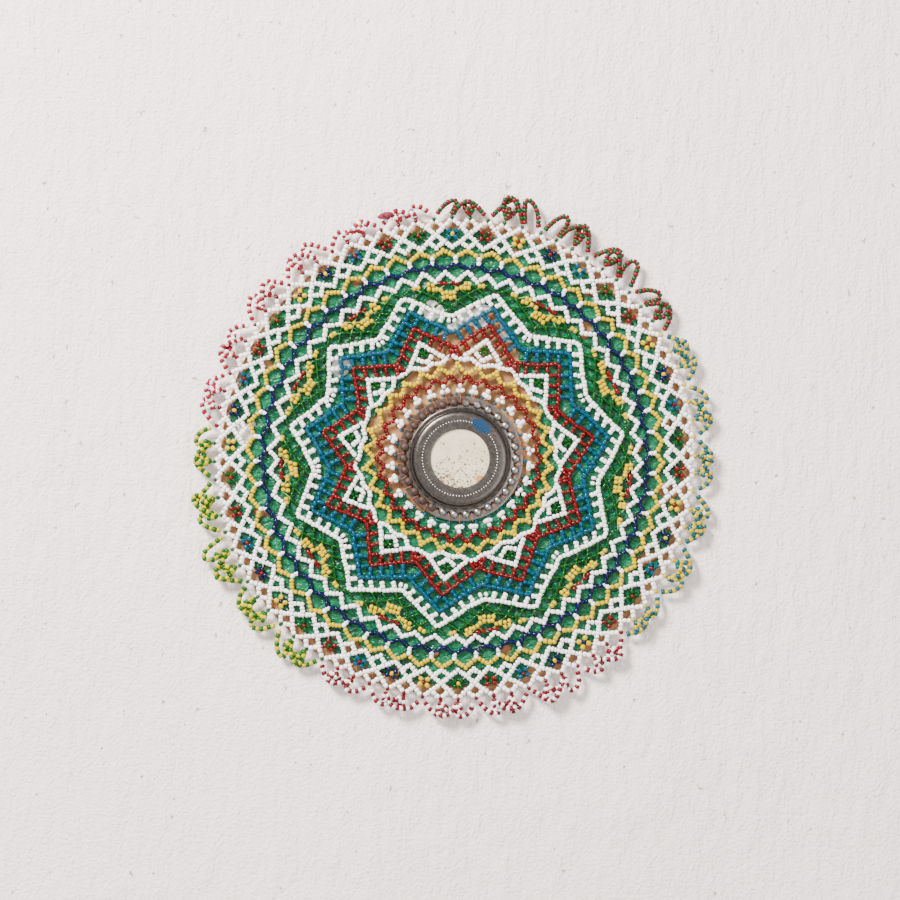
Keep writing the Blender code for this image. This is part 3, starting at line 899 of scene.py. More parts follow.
brown_thread = yarn_finish("waxed_brown_thread", (0.30, 0.105, 0.03, 1.0))
lashing = Strings()
draw = random.Random(5)
for index in range(HOLES):
    degrees = 360.0 * index / HOLES
    lean = draw.uniform(-2.5, 2.5)
    lashing.run(
        [
            place(HOLE_CIRCLE, degrees + 0.3, BOSS_BACK - 0.35 * MM),
            place(HOLE_CIRCLE + 0.45 * MM, degrees + 0.1 * lean, FLANGE_TOP + 0.05 * MM),
            place(HOLE_CIRCLE + 1.1 * MM, degrees + 0.3 * lean, FLANGE_TOP + 0.24 * MM),
            place(BOSS_EDGE - 0.5 * MM, degrees + 0.8 * lean, FLANGE_TOP + 0.26 * MM),
            place(BOSS_EDGE + 0.3 * MM, degrees + lean, FLANGE_TOP + 0.02 * MM),
            place(BOSS_EDGE + 0.9 * MM, degrees + 1.1 * lean, BOSS_BACK - 0.2 * MM),
        ],
        bare=True,
    )
for index in range(9):
    degrees = 80.0 + draw.uniform(-5.0, 5.0)
    spot = place(BOSS_EDGE + draw.uniform(0.4, 1.4) * MM, degrees, BEAD_HEIGHT + 0.3 * MM)
    heading = draw.uniform(0.0, 6.3)
    curl = draw.uniform(-0.9, 0.9)
    tangle = [spot]
    for step in range(8):
        heading += curl * draw.uniform(0.3, 1.2)
        spot = spot + Vector((0.55 * math.cos(heading), 0.0, 0.75 * math.sin(heading))) * MM
        spot.y = -BEAD_HEIGHT - (0.8 + 0.7 * math.sin(0.4 * step)) * MM
        tangle.append(spot)
    lashing.run(tangle, bare=True)
back_stitches(lashing, HOLE_CIRCLE + 2 * MM, HOLES)
strung(
    "boss_sewing_thread", lashing, brown_thread, brown_thread, 1 * MM,
    "copper_thread", "boss_lashing", thread=THREAD_RADIUS,
)

# --------------------------------------------------------------------------------------------------
# Picots round the boss
# Thirty little points of three opaque white seed beads, each on a turquoise bead beside the flange. They are
# the first course of the net, strung on cotton thread.

WHITE_WIDTH = 2.4 * MM
WHITE_PITCH = 1.95 * MM
STEP = 360.0 / HOLES
FOOT_WIDTH = 1.8 * MM
FEET_CIRCLE = 31.9 * MM
PICOT_ROOT = 32.7 * MM
PICOT_FILLER = 33.4 * MM
PICOT_NECK = 34.6 * MM
PICOT_TOP = 35.9 * MM


def bead_finish(name, colour, other=None, clear=0.0, roughness=0.16, shift=0.16):
    """Glass beads. other is the colour of every second bead, and clear is how much shows through them."""
    finish = Finish(name, roughness=roughness, specular_ior_level=0.25)
    tone = finish.node("ShaderNodeAttribute", {"attribute_name": "tone"}, out="Fac")
    base = colour
    if other:
        which = finish.node("ShaderNodeAttribute", {"attribute_name": "second"}, out="Fac")
        base = finish.mix(which, colour, other)
    deep = finish.mix(1.0 - shift, (0.0, 0.0, 0.0, 1.0), base)
    hue = finish.mix(tone, deep, base)
    mark = finish.clouds(900.0, 2.0).between(0.6, 0.8)
    finish.feed("Base Color", finish.mix(mark * 0.2, hue, (0.03, 0.02, 0.01, 1.0)))
    finish.feed("Roughness", roughness + tone * 0.12)
    if clear:
        finish.feed("Alpha", 1.0 - clear * (0.75 + tone * 0.4))
    return finish.material


white_thread = yarn_finish("pale_thread", (0.60, 0.53, 0.43, 1.0))
white_beads = bead_finish("white_seed_beads", (0.90, 0.89, 0.865, 1.0), shift=0.08)
turquoise_beads = bead_finish("clear_turquoise_beads", (0.0, 0.068, 0.120, 1.0), clear=0.3, roughness=0.08)
picots = Strings()
feet = Strings()
draw = random.Random(11)
for index in range(HOLES):
    degrees = STEP * index + draw.uniform(-0.9, 0.9)
    rise = draw.uniform(-0.4, 0.4) * MM
    inner = [wander(place(PICOT_ROOT + rise, degrees + side, BEAD_HEIGHT)) for side in (-2.7, 2.7)]
    outer = [wander(place(PICOT_NECK + rise, degrees + side, BEAD_HEIGHT)) for side in (-1.3, 1.3)]
    picots.run([inner[0], outer[0]], WHITE_PITCH)
    picots.run([inner[1], outer[1]], WHITE_PITCH)
    top = wander(place(PICOT_TOP + rise, degrees, BEAD_HEIGHT + 0.1 * MM))
    picots.one(top, outer[1] - outer[0], WHITE_PITCH)
    if draw.random() < 0.7:
        filler = wander(place(PICOT_FILLER, degrees, BEAD_HEIGHT + 0.5 * MM))
        picots.one(filler, outer[1] - outer[0], WHITE_PITCH)
    foot = wander(place(FEET_CIRCLE, degrees + draw.uniform(-4.5, -2.5), BEAD_HEIGHT - 0.1 * MM))
    feet.one(foot, place(1.0, degrees + draw.uniform(0, 60)), 1.6 * MM)
back_stitches(picots, 35 * MM, HOLES)
strung("white_picots", picots, white_beads, white_thread, WHITE_WIDTH, "white_beads", "picot_collar")
strung("picot_feet", feet, turquoise_beads, white_thread, FOOT_WIDTH, "turquoise_beads", "picot_collar")

# --------------------------------------------------------------------------------------------------
# Red and yellow collars
# A zigzag of long red beads joins the picots' points, and yellow arches stand on its peaks. The top of each
# arch meets the white ring outside.

RED_WIDTH = 2.1 * MM
RED_PITCH = 2.25 * MM
YELLOW_WIDTH = 2.4 * MM
YELLOW_PITCH = 1.95 * MM
RED_VALLEY = 36.7 * MM
RED_PEAK = 40.7 * MM
ARCH_TOP = 45.4 * MM


def knot(radius, degrees, lift=0.0):
    """A point of the net beside the boss, where it isn't skewed."""
    return wander(place(radius, degrees, BEAD_HEIGHT + lift))


def near(start, end, gap):
    """A leg between two points, kept a gap short of both."""
    along = (end - start).normalized()
    return [start + along * gap, end - along * gap]


red_beads = bead_finish("red_seed_beads", (0.128, 0.0, 0.0005, 1.0), shift=0.4)
yellow_beads = bead_finish("yellow_seed_beads", (0.53, 0.365, 0.0, 1.0), shift=0.15)
red_zigzag = Strings()
arches = Strings()
for index in range(HOLES):
    degrees = STEP * index
    low = knot(RED_VALLEY, degrees)
    for side in (-0.5, 0.5):
        high = knot(RED_PEAK, degrees + side * STEP)
        red_zigzag.run([low, high], RED_PITCH)
        apex = knot(ARCH_TOP, degrees, 0.15 * MM)
        spring = knot(RED_PEAK + 0.6 * MM, degrees + side * STEP, 0.2 * MM)
        arches.run(near(spring, apex, 0.25 * MM), YELLOW_PITCH)
    arches.one(knot(ARCH_TOP + 0.8 * MM, degrees), place(1.0, degrees), YELLOW_PITCH)
strung("red_collar_zigzag", red_zigzag, red_beads, white_thread, RED_WIDTH, "red_beads", "red_collar")
strung(
    "yellow_collar_arches", arches, yellow_beads, white_thread, YELLOW_WIDTH, "yellow_beads", "yellow_collar"
)

# --------------------------------------------------------------------------------------------------
# White triangles
# A ring of white beads with eleven triangles on it, one in each sector. A V inside each triangle leaves a
# diamond, with a small cross of clear green beads.

SECTORS = 11
SECTOR = 360.0 / SECTORS
FIRST_PEAK = 18.3
SKEW = 4.6
SKEW_TOWARDS = 20.0
RING_RADIUS = 48.3 * MM
RING_DIP = 1.4 * MM
RING_WAVE = 1.0 * MM
RING_POINTS = 176
TRIANGLE_APEX = 59.0 * MM
TRIANGLE_FOOT = (49.4 * MM, 11.6)
CROSS_WIDTH = 1.9 * MM
GREEN_THREAD = 0.24 * MM


def skewed(degrees):
    """The angle of a course's point, after the sectors' unequal widths."""
    return degrees - SKEW * math.cos(math.radians(degrees - SKEW_TOWARDS))


def joint(radius, degrees, lift=0.0):
    """A point of the net outside the collars."""
    return wander(place(radius, skewed(degrees), BEAD_HEIGHT + lift))


def clockwise(degrees):
    """The direction clockwise at an angle."""
    turn = math.radians(degrees)
    return Vector((math.cos(turn), 0.0, -math.sin(turn)))


def tangent(degrees):
    """The direction clockwise at a course's point."""
    return clockwise(skewed(degrees))


green_thread = yarn_finish("pale_green_thread", (0.22, 0.50, 0.13, 1.0))
green_beads = bead_finish("clear_green_beads", (0.0, 0.060, 0.004, 1.0), clear=0.34, roughness=0.08)
triangles = Strings()
crosses = Strings()
ring = []
for index in range(RING_POINTS + 1):
    degrees = 360.0 * index / RING_POINTS
    dip = math.cos(math.radians(SECTORS * (degrees - FIRST_PEAK)))
    wave = math.cos(math.radians(HOLES * degrees))
    ring.append(joint(RING_RADIUS - RING_DIP * dip + RING_WAVE * wave, degrees))
triangles.run(ring, WHITE_PITCH)
for sector in range(SECTORS):
    middle = FIRST_PEAK + SECTOR * sector
    apex = joint(TRIANGLE_APEX, middle)
    centre = joint(53.9 * MM, middle, -0.5 * MM)
    triangles.one(apex, tangent(middle), WHITE_PITCH)
    base = joint(RING_RADIUS + 0.8 * MM, middle)
    for side in (-1, 1):
        foot = joint(TRIANGLE_FOOT[0], middle + side * TRIANGLE_FOOT[1])
        triangles.run(near(foot, apex, 0.9 * MM), WHITE_PITCH)
        waist = foot.lerp(apex, 0.46)
        inward = (base - waist).normalized()
        triangles.run([waist + inward * 1.7 * MM, base + inward * 0.2 * MM], WHITE_PITCH)
        for corner in (waist.lerp(apex, 0.5), waist.lerp(base, 0.5)):
            arm = near(centre, corner, 0.5 * MM)
            crosses.run([arm[0], arm[1] - (arm[1] - arm[0]).normalized() * 0.5 * MM], 2.0 * MM)
strung(
    "white_triangle_course", triangles, white_beads, white_thread, WHITE_WIDTH,
    "white_beads", "white_triangles",
)
strung(
    "green_crosses", crosses, green_beads, green_thread, CROSS_WIDTH,
    "green_beads", "white_triangles", bead=cut_bead, thread=GREEN_THREAD,
)

# --------------------------------------------------------------------------------------------------
# Red, turquoise and white stars
# Three nested star-shaped courses. Each one's rail is a straight string from peak to valley, tied to the rail
# inside it by short rungs that lie parallel to the opposite leg, so that the cells are little diamonds.

STARS = ((67.4 * MM, 54.2 * MM), (75.0 * MM, 62.0 * MM), (82.3 * MM, 69.6 * MM))
RUNG_SPACING = 5.2 * MM
TURQUOISE_WIDTH = 2.5 * MM
TURQUOISE_PITCH = 2.6 * MM
STAR_THREAD = 0.2 * MM


def meeting(start, along, first, last):
    """Where a line in the net's plane meets a segment, or None."""
    across = last - first
    spread = along.x * across.z - along.z * across.x
    apart = first - start
    reach = (apart.x * across.z - apart.z * across.x) / spread
    share = (apart.x * along.z - apart.z * along.x) / spread
    if reach <= 0.0 or not 0.0 <= share <= 0.99:
        return None
    return start + along * reach


def star_leg(star, sector, side):
    """A rail's leg: from the sector's peak to the valley on one side."""
    middle = FIRST_PEAK + SECTOR * sector
    peak = place(star[0], skewed(middle), BEAD_HEIGHT)
    valley = place(star[1], skewed(middle + side * SECTOR / 2), BEAD_HEIGHT)
    return peak, valley


def rungs(inner, outer, sector, side):
    """The rungs between two rails on one leg, as (start on the inner rail, end on the outer rail)."""
    peak, valley = star_leg(inner, sector, side)
    other_peak, other_valley = star_leg(inner, sector, -side)
    along = (valley - peak).normalized()
    outward = (other_peak - other_valley).normalized()
    found = []
    for index in range(int((valley - peak).length / RUNG_SPACING) + 1):
        start = peak + along * (RUNG_SPACING * index)
        end = meeting(start, outward, *star_leg(outer, sector, side))
        if end is not None:
            found.append((start, end))
    return found


def rail(strings, star, pitch):
    """A star's outline, leg by leg."""
    for sector in range(SECTORS):
        for side in (-1, 1):
            peak, valley = star_leg(star, sector, side)
            steps = 8
            path = [wander(peak.lerp(valley, step / steps)) for step in range(steps + 1)]
            strings.run(path, pitch)


turquoise_thread = yarn_finish("pale_blue_thread", (0.11, 0.46, 0.62, 1.0))
red_star = Strings()
turquoise_star = Strings()
white_star = Strings()
TRIANGLE_RAIL = (TRIANGLE_APEX + 0.4 * MM, 45.6 * MM)
rail(red_star, STARS[0], RED_PITCH)
rail(turquoise_star, STARS[1], TURQUOISE_PITCH)
rail(white_star, STARS[2], WHITE_PITCH)
for sector in range(SECTORS):
    for side in (-1, 1):
        for start, end in rungs(TRIANGLE_RAIL, STARS[0], sector, side):
            leg = near(wander(start), wander(end), 0.8 * MM)
            if (leg[1] - leg[0]).length > 1.2 * MM:
                red_star.run([leg[0] + (leg[1] - leg[0]).normalized() * 0.5 * MM, leg[1]], RED_PITCH)
        for start, end in rungs(STARS[0], STARS[1], sector, side):
            turquoise_star.run(near(wander(start), wander(end), 0.8 * MM), TURQUOISE_PITCH)
        for start, end in rungs(STARS[1], STARS[2], sector, side):
            leg = near(wander(start), wander(end), 0.9 * MM)
            along = (leg[1] - leg[0]).normalized()
            stub = leg[1] - along * min(3.7 * MM, (leg[1] - leg[0]).length)
            white_star.run([stub, leg[1]], WHITE_PITCH)
            if (stub - leg[0]).length > 1.1 * MM:
                turquoise_star.run([leg[0], stub], TURQUOISE_PITCH)
    valley_angle = FIRST_PEAK + SECTOR * (sector + 0.5)
    for side in (-3.4, 3.4):
        on_ring = joint(RING_RADIUS + 0.6 * MM, valley_angle + side)
        red_star.run(near(joint(STARS[0][1], valley_angle), on_ring, 0.8 * MM), RED_PITCH)
    crossing = joint(STARS[2][1] - 2.3 * MM, valley_angle)
    for side in (-1, 1):
        white_star.one(crossing + tangent(valley_angle) * (side * 1.3 * MM), tangent(valley_angle), 1.7 * MM)
for colour, strings, finish, thread, width, bead in (
    ("red", red_star, red_beads, white_thread, RED_WIDTH, cut_bead),
    ("turquoise", turquoise_star, turquoise_beads, turquoise_thread, TURQUOISE_WIDTH, cut_bead),
    ("white", white_star, white_beads, white_thread, WHITE_WIDTH, round_bead),
):
    strung(
        colour + "_star_course", strings, finish, thread, width,
        colour + "_beads", colour + "_star", bead=bead, thread=STAR_THREAD,
    )

# --------------------------------------------------------------------------------------------------
# Green field and its motifs
# An open mesh of long clear green beads fills the ground outside the white star. Yellow clusters and a red
# bar fill the widest place in each sector, strung on the same thread.

COLUMNS = 10 * SECTORS
ROWS = 6
FIELD_TOP = 86.2 * MM
ROW_STEP = 2.95 * MM
GREEN_WIDTH = 1.6 * MM
GREEN_PITCH = 2.8 * MM


def star_radius(degrees):
    """The white star's radius at an angle."""
    turn = abs((degrees - FIRST_PEAK + SECTOR / 2) % SECTOR - SECTOR / 2)
    peak = Vector((0.0, STARS[2][0]))
    half = math.radians(SECTOR / 2)
    valley = Vector((STARS[2][1] * math.sin(half), STARS[2][1] * math.cos(half)))
    ray = math.radians(turn)
    span = valley - peak
    normal = Vector((span.y, -span.x))
    return normal.dot(peak) / normal.dot(Vector((math.sin(ray), math.cos(ray))))


CLUSTERS = ((11.1, 85.2, 1), (6.2, 85.2, 2), (3.6, 82.8, 1), (1.4, 80.9, 2))

field = Strings()
for column in range(COLUMNS):
    for row in range(ROWS):
        if (column + row) % 2 == 0:
            continue
        degrees = FIRST_PEAK + column * SECTOR / 10
        top = FIELD_TOP - row * ROW_STEP
        if top < star_radius(degrees) + 1.3 * MM:
            continue
        for side in (-1, 1):
            beside = degrees + side * SECTOR / 10
            share = 1.0
            while share > 0.1:
                if top - share * ROW_STEP >= star_radius(degrees + share * side * SECTOR / 10) + MM:
                    break
                share -= 0.1
            if share < 0.25:
                continue
            end = (top - share * ROW_STEP, degrees + share * (beside - degrees))
            field.run(near(joint(top, degrees), joint(*end), 0.15 * MM), GREEN_PITCH)
yellow_motifs = Strings()
red_motifs = Strings()
draw = random.Random(23)
for sector in range(SECTORS):
    middle = FIRST_PEAK + SECTOR * (sector + 0.5)
    tilt = draw.uniform(-0.8, 0.8)
    for side in (-1, 1):
        for offset, radius, rows in CLUSTERS:
            spot = joint(radius * MM, middle + side * offset + tilt, 0.25 * MM)
            lean = tangent(middle) + Vector((0.0, 0.0, draw.uniform(-0.3, 0.3)))
            for row in range(rows):
                centre = spot + (joint(radius * MM - 1.95 * MM, middle + side * offset) - spot) * row
                for half in (-0.5, 0.5):
                    yellow_motifs.one(centre + lean * (half * 1.95 * MM), lean, 1.85 * MM)
        bar = [joint(85.5 * MM, middle + side * reach + tilt, 0.15 * MM) for reach in (0.4, 3.7)]
        red_motifs.run(bar, 2.3 * MM)
field.make_way(yellow_motifs.middles() + red_motifs.middles(), 1.9 * MM)
strung(
    "green_mesh", field, green_beads, green_thread, GREEN_WIDTH,
    "green_beads", "green_field", bead=cut_bead, thread=GREEN_THREAD,
)
strung(
    "yellow_motifs", yellow_motifs, yellow_beads, green_thread, YELLOW_WIDTH,
    "yellow_beads", "green_field",
)
strung(
    "red_motifs", red_motifs, red_beads, green_thread, RED_WIDTH, "red_beads", "green_field", bead=cut_bead
)

# --------------------------------------------------------------------------------------------------
# White, blue and yellow borders
# Three zigzag rounds of fifty-five points: white seed beads, navy bugle beads from point to point, then posts
# of white beads that carry the yellow round.

POINTS = 5 * SECTORS
POINT = 360.0 / POINTS
WHITE_LOW, WHITE_HIGH = 86.7, 91.0
NAVY_LOW, NAVY_HIGH = 92.3, 95.5
POST_FOOT, POST_HEAD = 94.6, 98.9
GOLD_LOW, GOLD_HIGH = 98.3, 101.9
NAVY_WIDTH = 2.15 * MM
NAVY_PITCH = 3.0 * MM


def edging(radius, degrees):
    """A point of the borders, whose points crowd at the right and open out at the upper left."""
    return wander(place(radius * MM, degrees + 5.0 * math.cos(math.radians(degrees - 10.0)), BEAD_HEIGHT))


navy_beads = bead_finish("navy_bugle_beads", (0.0005, 0.002, 0.042, 1.0), shift=0.4, roughness=0.1)
white_border = Strings()
blue_border = Strings()
yellow_border = Strings()
for index in range(POINTS):
    degrees = FIRST_PEAK + POINT * index
    beside = degrees + POINT / 2
    white_border.one(edging(WHITE_HIGH, degrees), clockwise(degrees), WHITE_PITCH)
    white_border.one(edging(WHITE_LOW, beside), clockwise(beside), WHITE_PITCH)
    white_border.run([edging(POST_FOOT, beside), edging(POST_HEAD, beside)], WHITE_PITCH)
    yellow_border.one(edging(GOLD_HIGH, degrees), clockwise(degrees), YELLOW_PITCH)
    for side in (-0.5, 0.5):
        turn = degrees + side * POINT
        white_border.run(near(edging(WHITE_LOW, turn), edging(WHITE_HIGH, degrees), 0.95 * MM), WHITE_PITCH)
        blue_border.run(near(edging(NAVY_LOW, degrees), edging(NAVY_HIGH, turn), 0.1 * MM), NAVY_PITCH)
        yellow_border.run(near(edging(GOLD_LOW, turn), edging(GOLD_HIGH, degrees), 0.85 * MM), YELLOW_PITCH)
for colour, strings, finish, width, bead, slot in (
    ("white", white_border, white_beads, WHITE_WIDTH, round_bead, "white_beads"),
    ("blue", blue_border, navy_beads, NAVY_WIDTH, cut_bead, "navy_beads"),
    ("yellow", yellow_border, yellow_beads, YELLOW_WIDTH, round_bead, "yellow_beads"),
):
    strung(
        colour + "_border_course", strings, finish, white_thread, width, slot, colour + "_border", bead=bead
    )

# --------------------------------------------------------------------------------------------------
# Flower lattice
# A diamond net of white beads with forty-two four-petalled flowers in it, each with a bead of another colour
# at its heart. Its outer points carry the coloured beads that the fringe hangs from.

LATTICE_POINTS = 84
LATTICE_STEP = 360.0 / LATTICE_POINTS
LATTICE_FIRST = 355.0
LATTICE_THREAD = 0.19 * MM
RIM = 117.4 * MM
UPPER_KNOTS = 113.3 * MM
HEARTS = 109.9 * MM
LOWER_KNOTS = 106.3 * MM
FEET = 103.1 * MM
FLOWERS = (
    "turquoise yellow,red green,yellow red,navy red,turquoise yellow,green red,red green,yellow red,"
    "navy yellow,turquoise red,green red,red green,yellow red,navy yellow,turquoise red,green red,"
    "red green,yellow navy,navy yellow,turquoise red,red green,green yellow,yellow red,navy yellow,"
    "turquoise red,red green,green red,yellow navy,navy red,turquoise red,red green,green red,"
    "yellow navy,navy yellow,turquoise red,red green,green red,yellow navy,navy yellow,turquoise red,"
    "red green,green red"
).split(",")
ROOT_COLOURS = (("green", 15), ("yellow", 18), ("red", 18), ("green", 15), ("red", 18))
BEAD_FINISHES = {
    "white": (white_beads, WHITE_WIDTH, white_thread),
    "yellow": (yellow_beads, YELLOW_WIDTH, white_thread),
    "red": (red_beads, 2.3 * MM, white_thread),
    "navy": (navy_beads, 2.3 * MM, white_thread),
    "turquoise": (turquoise_beads, 2.5 * MM, turquoise_thread),
    "green": (green_beads, 2.5 * MM, green_thread),
}


def rim_knot(radius, degrees, lift=0.0):
    """A point of the lattice, which isn't skewed."""
    return wander(place(radius, degrees, BEAD_HEIGHT + lift), 0.42)


lattice = Strings()
petals = {name: Strings() for name in BEAD_FINISHES if name != "white"}
root_colour = [name for name, count in ROOT_COLOURS for _ in range(count)]
for index in range(LATTICE_POINTS):
    degrees = LATTICE_FIRST + LATTICE_STEP * index
    rim = rim_knot(RIM, degrees)
    foot = rim_knot(FEET, degrees)
    petals[root_colour[index]].one(rim, clockwise(degrees), 1.8 * MM)
    lattice.one(foot, clockwise(degrees), WHITE_PITCH)
    flower = index % 2 == 1
    heart = rim_knot(HEARTS, degrees)
    if flower:
        petal, centre = FLOWERS[index // 2].split()
        petals[centre].one(heart, clockwise(degrees), 1.9 * MM)
    else:
        lattice.one(heart, clockwise(degrees), WHITE_PITCH)
    for side in (-0.5, 0.5):
        beside = degrees + side * LATTICE_STEP
        upper = rim_knot(UPPER_KNOTS, beside)
        lower = rim_knot(LOWER_KNOTS, beside)
        lattice.run(near(rim, upper, 0.9 * MM), WHITE_PITCH)
        lattice.run(near(foot, lower, 0.9 * MM), WHITE_PITCH)
        for knot_point in (upper, lower):
            if flower:
                along = (knot_point - heart).normalized()
                start = heart + along * 1.0 * MM
                petals[petal].run([start, start + along * 2.4 * MM], 2.4 * MM)
                lattice.run([start + along * 2.4 * MM, knot_point], bare=True)
            else:
                lattice.run(near(heart, knot_point, 0.9 * MM), WHITE_PITCH)
        if side > 0:
            lattice.one(upper, clockwise(beside), WHITE_PITCH)
            lattice.one(lower, clockwise(beside), WHITE_PITCH)
for radius in (110, 97, 84, 68, 52):
    back_stitches(lattice, radius * MM, round(1.5 * radius))
strung(
    "white_lattice", lattice, white_beads, white_thread, WHITE_WIDTH,
    "white_beads", "flower_lattice", thread=LATTICE_THREAD,
)
for name, strings in petals.items():
    finish, width, thread = BEAD_FINISHES[name]
    strung(name + "_flowers", strings, finish, thread, width, name + "_beads", "flower_lattice")

# --------------------------------------------------------------------------------------------------
# Fringe
# Twenty-eight lumps of entwined bead loops in five runs of colour. A lump is three loops on four roots at the
# lattice's rim. Each string has beads of two colours in turn, and the loops lie over and under one another.
# A run holds its name, how far each lump reaches in mm, the bead pitch in mm, and the two glass colours.

HINGE_RADIUS = 118.5 * MM
LUMP = 360.0 / 28
LOOP_STEPS = 22
FIRST_BEAD = 0.75
FRINGE_WIDTH = 2.6
SIDE_LIMIT = 10.9
WHITE_GLASS = (0.86, 0.83, 0.80, 1.0)
FRINGE_RUNS = (
    ("red_green", (9.5, 14.6, 13.8, 13.4, 11.2), 1.85, (0.15, 0.001, 0.004, 1.0), (0.002, 0.055, 0.007, 1.0)),
    (
        "turquoise_yellow",
        (9.7, 9.2, 9.0, 9.6, 10.2, 7.4),
        1.9,
        (0.0, 0.082, 0.10, 1.0),
        (0.50, 0.34, 0.0, 1.0),
    ),
    ("dark_red_white", (9.4, 10.8, 9.4, 10.2, 8.2, 8.0), 1.75, (0.13, 0.001, 0.006, 1.0), WHITE_GLASS),
    (
        "green_yellow",
        (11.4, 12.2, 14.4, 12.6, 10.2),
        1.95,
        (0.004, 0.085, 0.001, 1.0),
        (0.47, 0.40, 0.0, 1.0),
    ),
    ("red_white", (9.6, 10.4, 9.8, 10.8, 7.8, 7.2), 1.75, (0.24, 0.001, 0.010, 1.0), WHITE_GLASS),
)
ROOTS = (-12.4, -4.4, 4.4, 12.4)
ROOT_GAP = 0.55
ROOT_THREAD = 0.5
# First and last root, share of the reach, lift off the wall, lean and bulge, the last three in mm.
LOOPS = (
    (0, 1, 1.0, 0.0, 4.6, 0.7),
    (1, 2, 0.94, 1.3, -4.4, 1.0),
    (2, 3, 1.0, 0.2, -3.6, 0.8),
)
CURLS = ((1, 1, 0.62, 1.5, 0.8, 3.0), (2, 2, 0.66, 1.4, -0.6, 2.8), (1, 2, 0.6, -0.4, 0.5, 0.6))


def loop_path(first, last, reach, lift, lean, bulge, frame_of, mirrored, draw):
    """A loop from one root to another that bulges between them, leans, and rises over its neighbours."""
    origin, across, outward = frame_of
    start = ROOTS[first] + ROOT_GAP
    end = ROOTS[last] - ROOT_GAP
    bulge += draw.uniform(-0.4, 0.9)
    tall = reach * draw.uniform(0.82, 1.0)
    lean += draw.uniform(-1.6, 1.6)
    twist = draw.uniform(-0.7, 0.7)
    path = []
    for step in range(LOOP_STEPS + 1):
        turn = math.pi * step / LOOP_STEPS
        height = math.sin(turn) ** 0.85
        half = (end - start) / 2 + bulge * math.sin(turn)
        sideways = (start + end) / 2 - half * math.cos(turn) + lean * height + twist * math.sin(3.0 * turn)
        limit = SIDE_LIMIT + 1.5 * (1.0 - height)
        sideways = mirrored * max(-limit, min(limit, sideways))
        away = 0.1 + (tall - 1.2) * height + 0.5 * twist * math.sin(4.0 * turn)
        rise = lift * math.sin(turn) ** 0.5 + 0.25 * math.sin(3.0 * turn + lean)
        spot = origin + across * (sideways * MM) + outward * (max(FIRST_BEAD, away) * MM)
        spot.y = -BEAD_HEIGHT - rise * MM
        path.append(spot)
    return path


lump_number = 0
for prefix, reaches, pitch, colour, other in FRINGE_RUNS:
    finish = bead_finish("fringe_" + prefix + "_beads", colour, other, roughness=0.2, shift=0.25)
    for number, reach in enumerate(reaches, 1):
        name = f"fringe_{prefix}_{number}"
        degrees = LATTICE_FIRST + LUMP * (lump_number + 0.5)
        draw = random.Random(100 + lump_number)
        mirrored = 1 if lump_number % 2 else -1
        origin = place(HINGE_RADIUS, degrees)
        across = clockwise(degrees)
        outward = Vector((-across.z, 0.0, across.x))
        strings = Strings()
        curls = CURLS[: 1 if prefix == "red_green" else 3]
        for first, last, share, lift, lean, bulge in LOOPS + curls:
            frame_of = (origin, across, outward)
            path = loop_path(first, last, reach * share, lift, lean, bulge, frame_of, mirrored, draw)
            strings.run(path, pitch * MM, second=(0, 1))
            for end in (path[0], path[-1]):
                strings.run([end - outward * (ROOT_THREAD + FIRST_BEAD) * MM, end], bare=True)
        strung(
            name + "_loops", strings, finish, white_thread, FRINGE_WIDTH * MM,
            prefix + "_beads", name, body=name, bead=cut_bead, loose=0.1, seed=lump_number,
        )
        lump_number += 1

# --------------------------------------------------------------------------------------------------
# Wool tuft
# What is left of the hanging tie: a bobble of crimson wool that lies along the rim, caught on the last lump
# of red and white loops.

TUFT_ANGLE = 344.0
TUFT_MIDDLE = 123.3 * MM
TUFT_HEIGHT = 7.0 * MM
TUFT_HALF = 3.9 * MM
TUFT_RADIUS = 1.45 * MM
FIBRES = 420
FIBRE_RADIUS = 0.11 * MM


def fibre_path(draw, centre, along, outward):
    """A strand that winds about the bobble and sticks out a little at its end."""
    start = draw.uniform(-0.95, 0.95)
    turn = draw.uniform(0.0, 2 * math.pi)
    twist = draw.uniform(-1.6, 1.6)
    slide = draw.uniform(-0.7, 0.7)
    depth = draw.uniform(0.55, 1.0)
    path = []
    for step in range(6):
        share = step / 5
        station = max(-1.0, min(1.0, start + slide * share))
        girth = math.sqrt(max(0.02, 1.0 - station * station)) * depth * (1.0 + 0.16 * share * share)
        angle = turn + twist * share
        spot = centre + along * (station * TUFT_HALF) + outward * (girth * TUFT_RADIUS * math.cos(angle))
        spot.y -= girth * TUFT_RADIUS * math.sin(angle)
        path.append(spot)
    return path


wool = Finish("crimson_wool", roughness=0.95, sheen_weight=0.3)
lint = wool.clouds(800.0, 3.0).between(0.3, 0.7)
wool.feed("Base Color", wool.mix(lint, (0.12, 0.001, 0.014, 1.0), (0.30, 0.004, 0.04, 1.0)))
draw = random.Random(344)
tuft = Strings()
tuft_centre = place(TUFT_MIDDLE, TUFT_ANGLE, TUFT_HEIGHT)
tuft_along = clockwise(TUFT_ANGLE)
tuft_outward = Vector((-tuft_along.z, 0.0, tuft_along.x))
for _ in range(FIBRES):
    tuft.run(fibre_path(draw, tuft_centre, tuft_along, tuft_outward), bare=True)
strung(
    "wool_bobble", tuft, wool.material, wool.material, 1 * MM,
    "crimson_wool", "hanging_tuft", body="fringe_red_white_6", thread=FIBRE_RADIUS,
)
discard(round_bead)
discard(cut_bead)

# --------------------------------------------------------------------------------------------------
# Wall, lights and camera
# A pale plastered wall behind the ornament, seen only from its front, with soft light from the upper left.

WALL_BACK = 0.4 * MM
WALL_HALF = 3.0
LENS = 100.0
SENSOR = 36.0
SEEN_WIDTH = 0.441
AIM = Vector((-4.9 * MM, 0.0, 4.2 * MM))

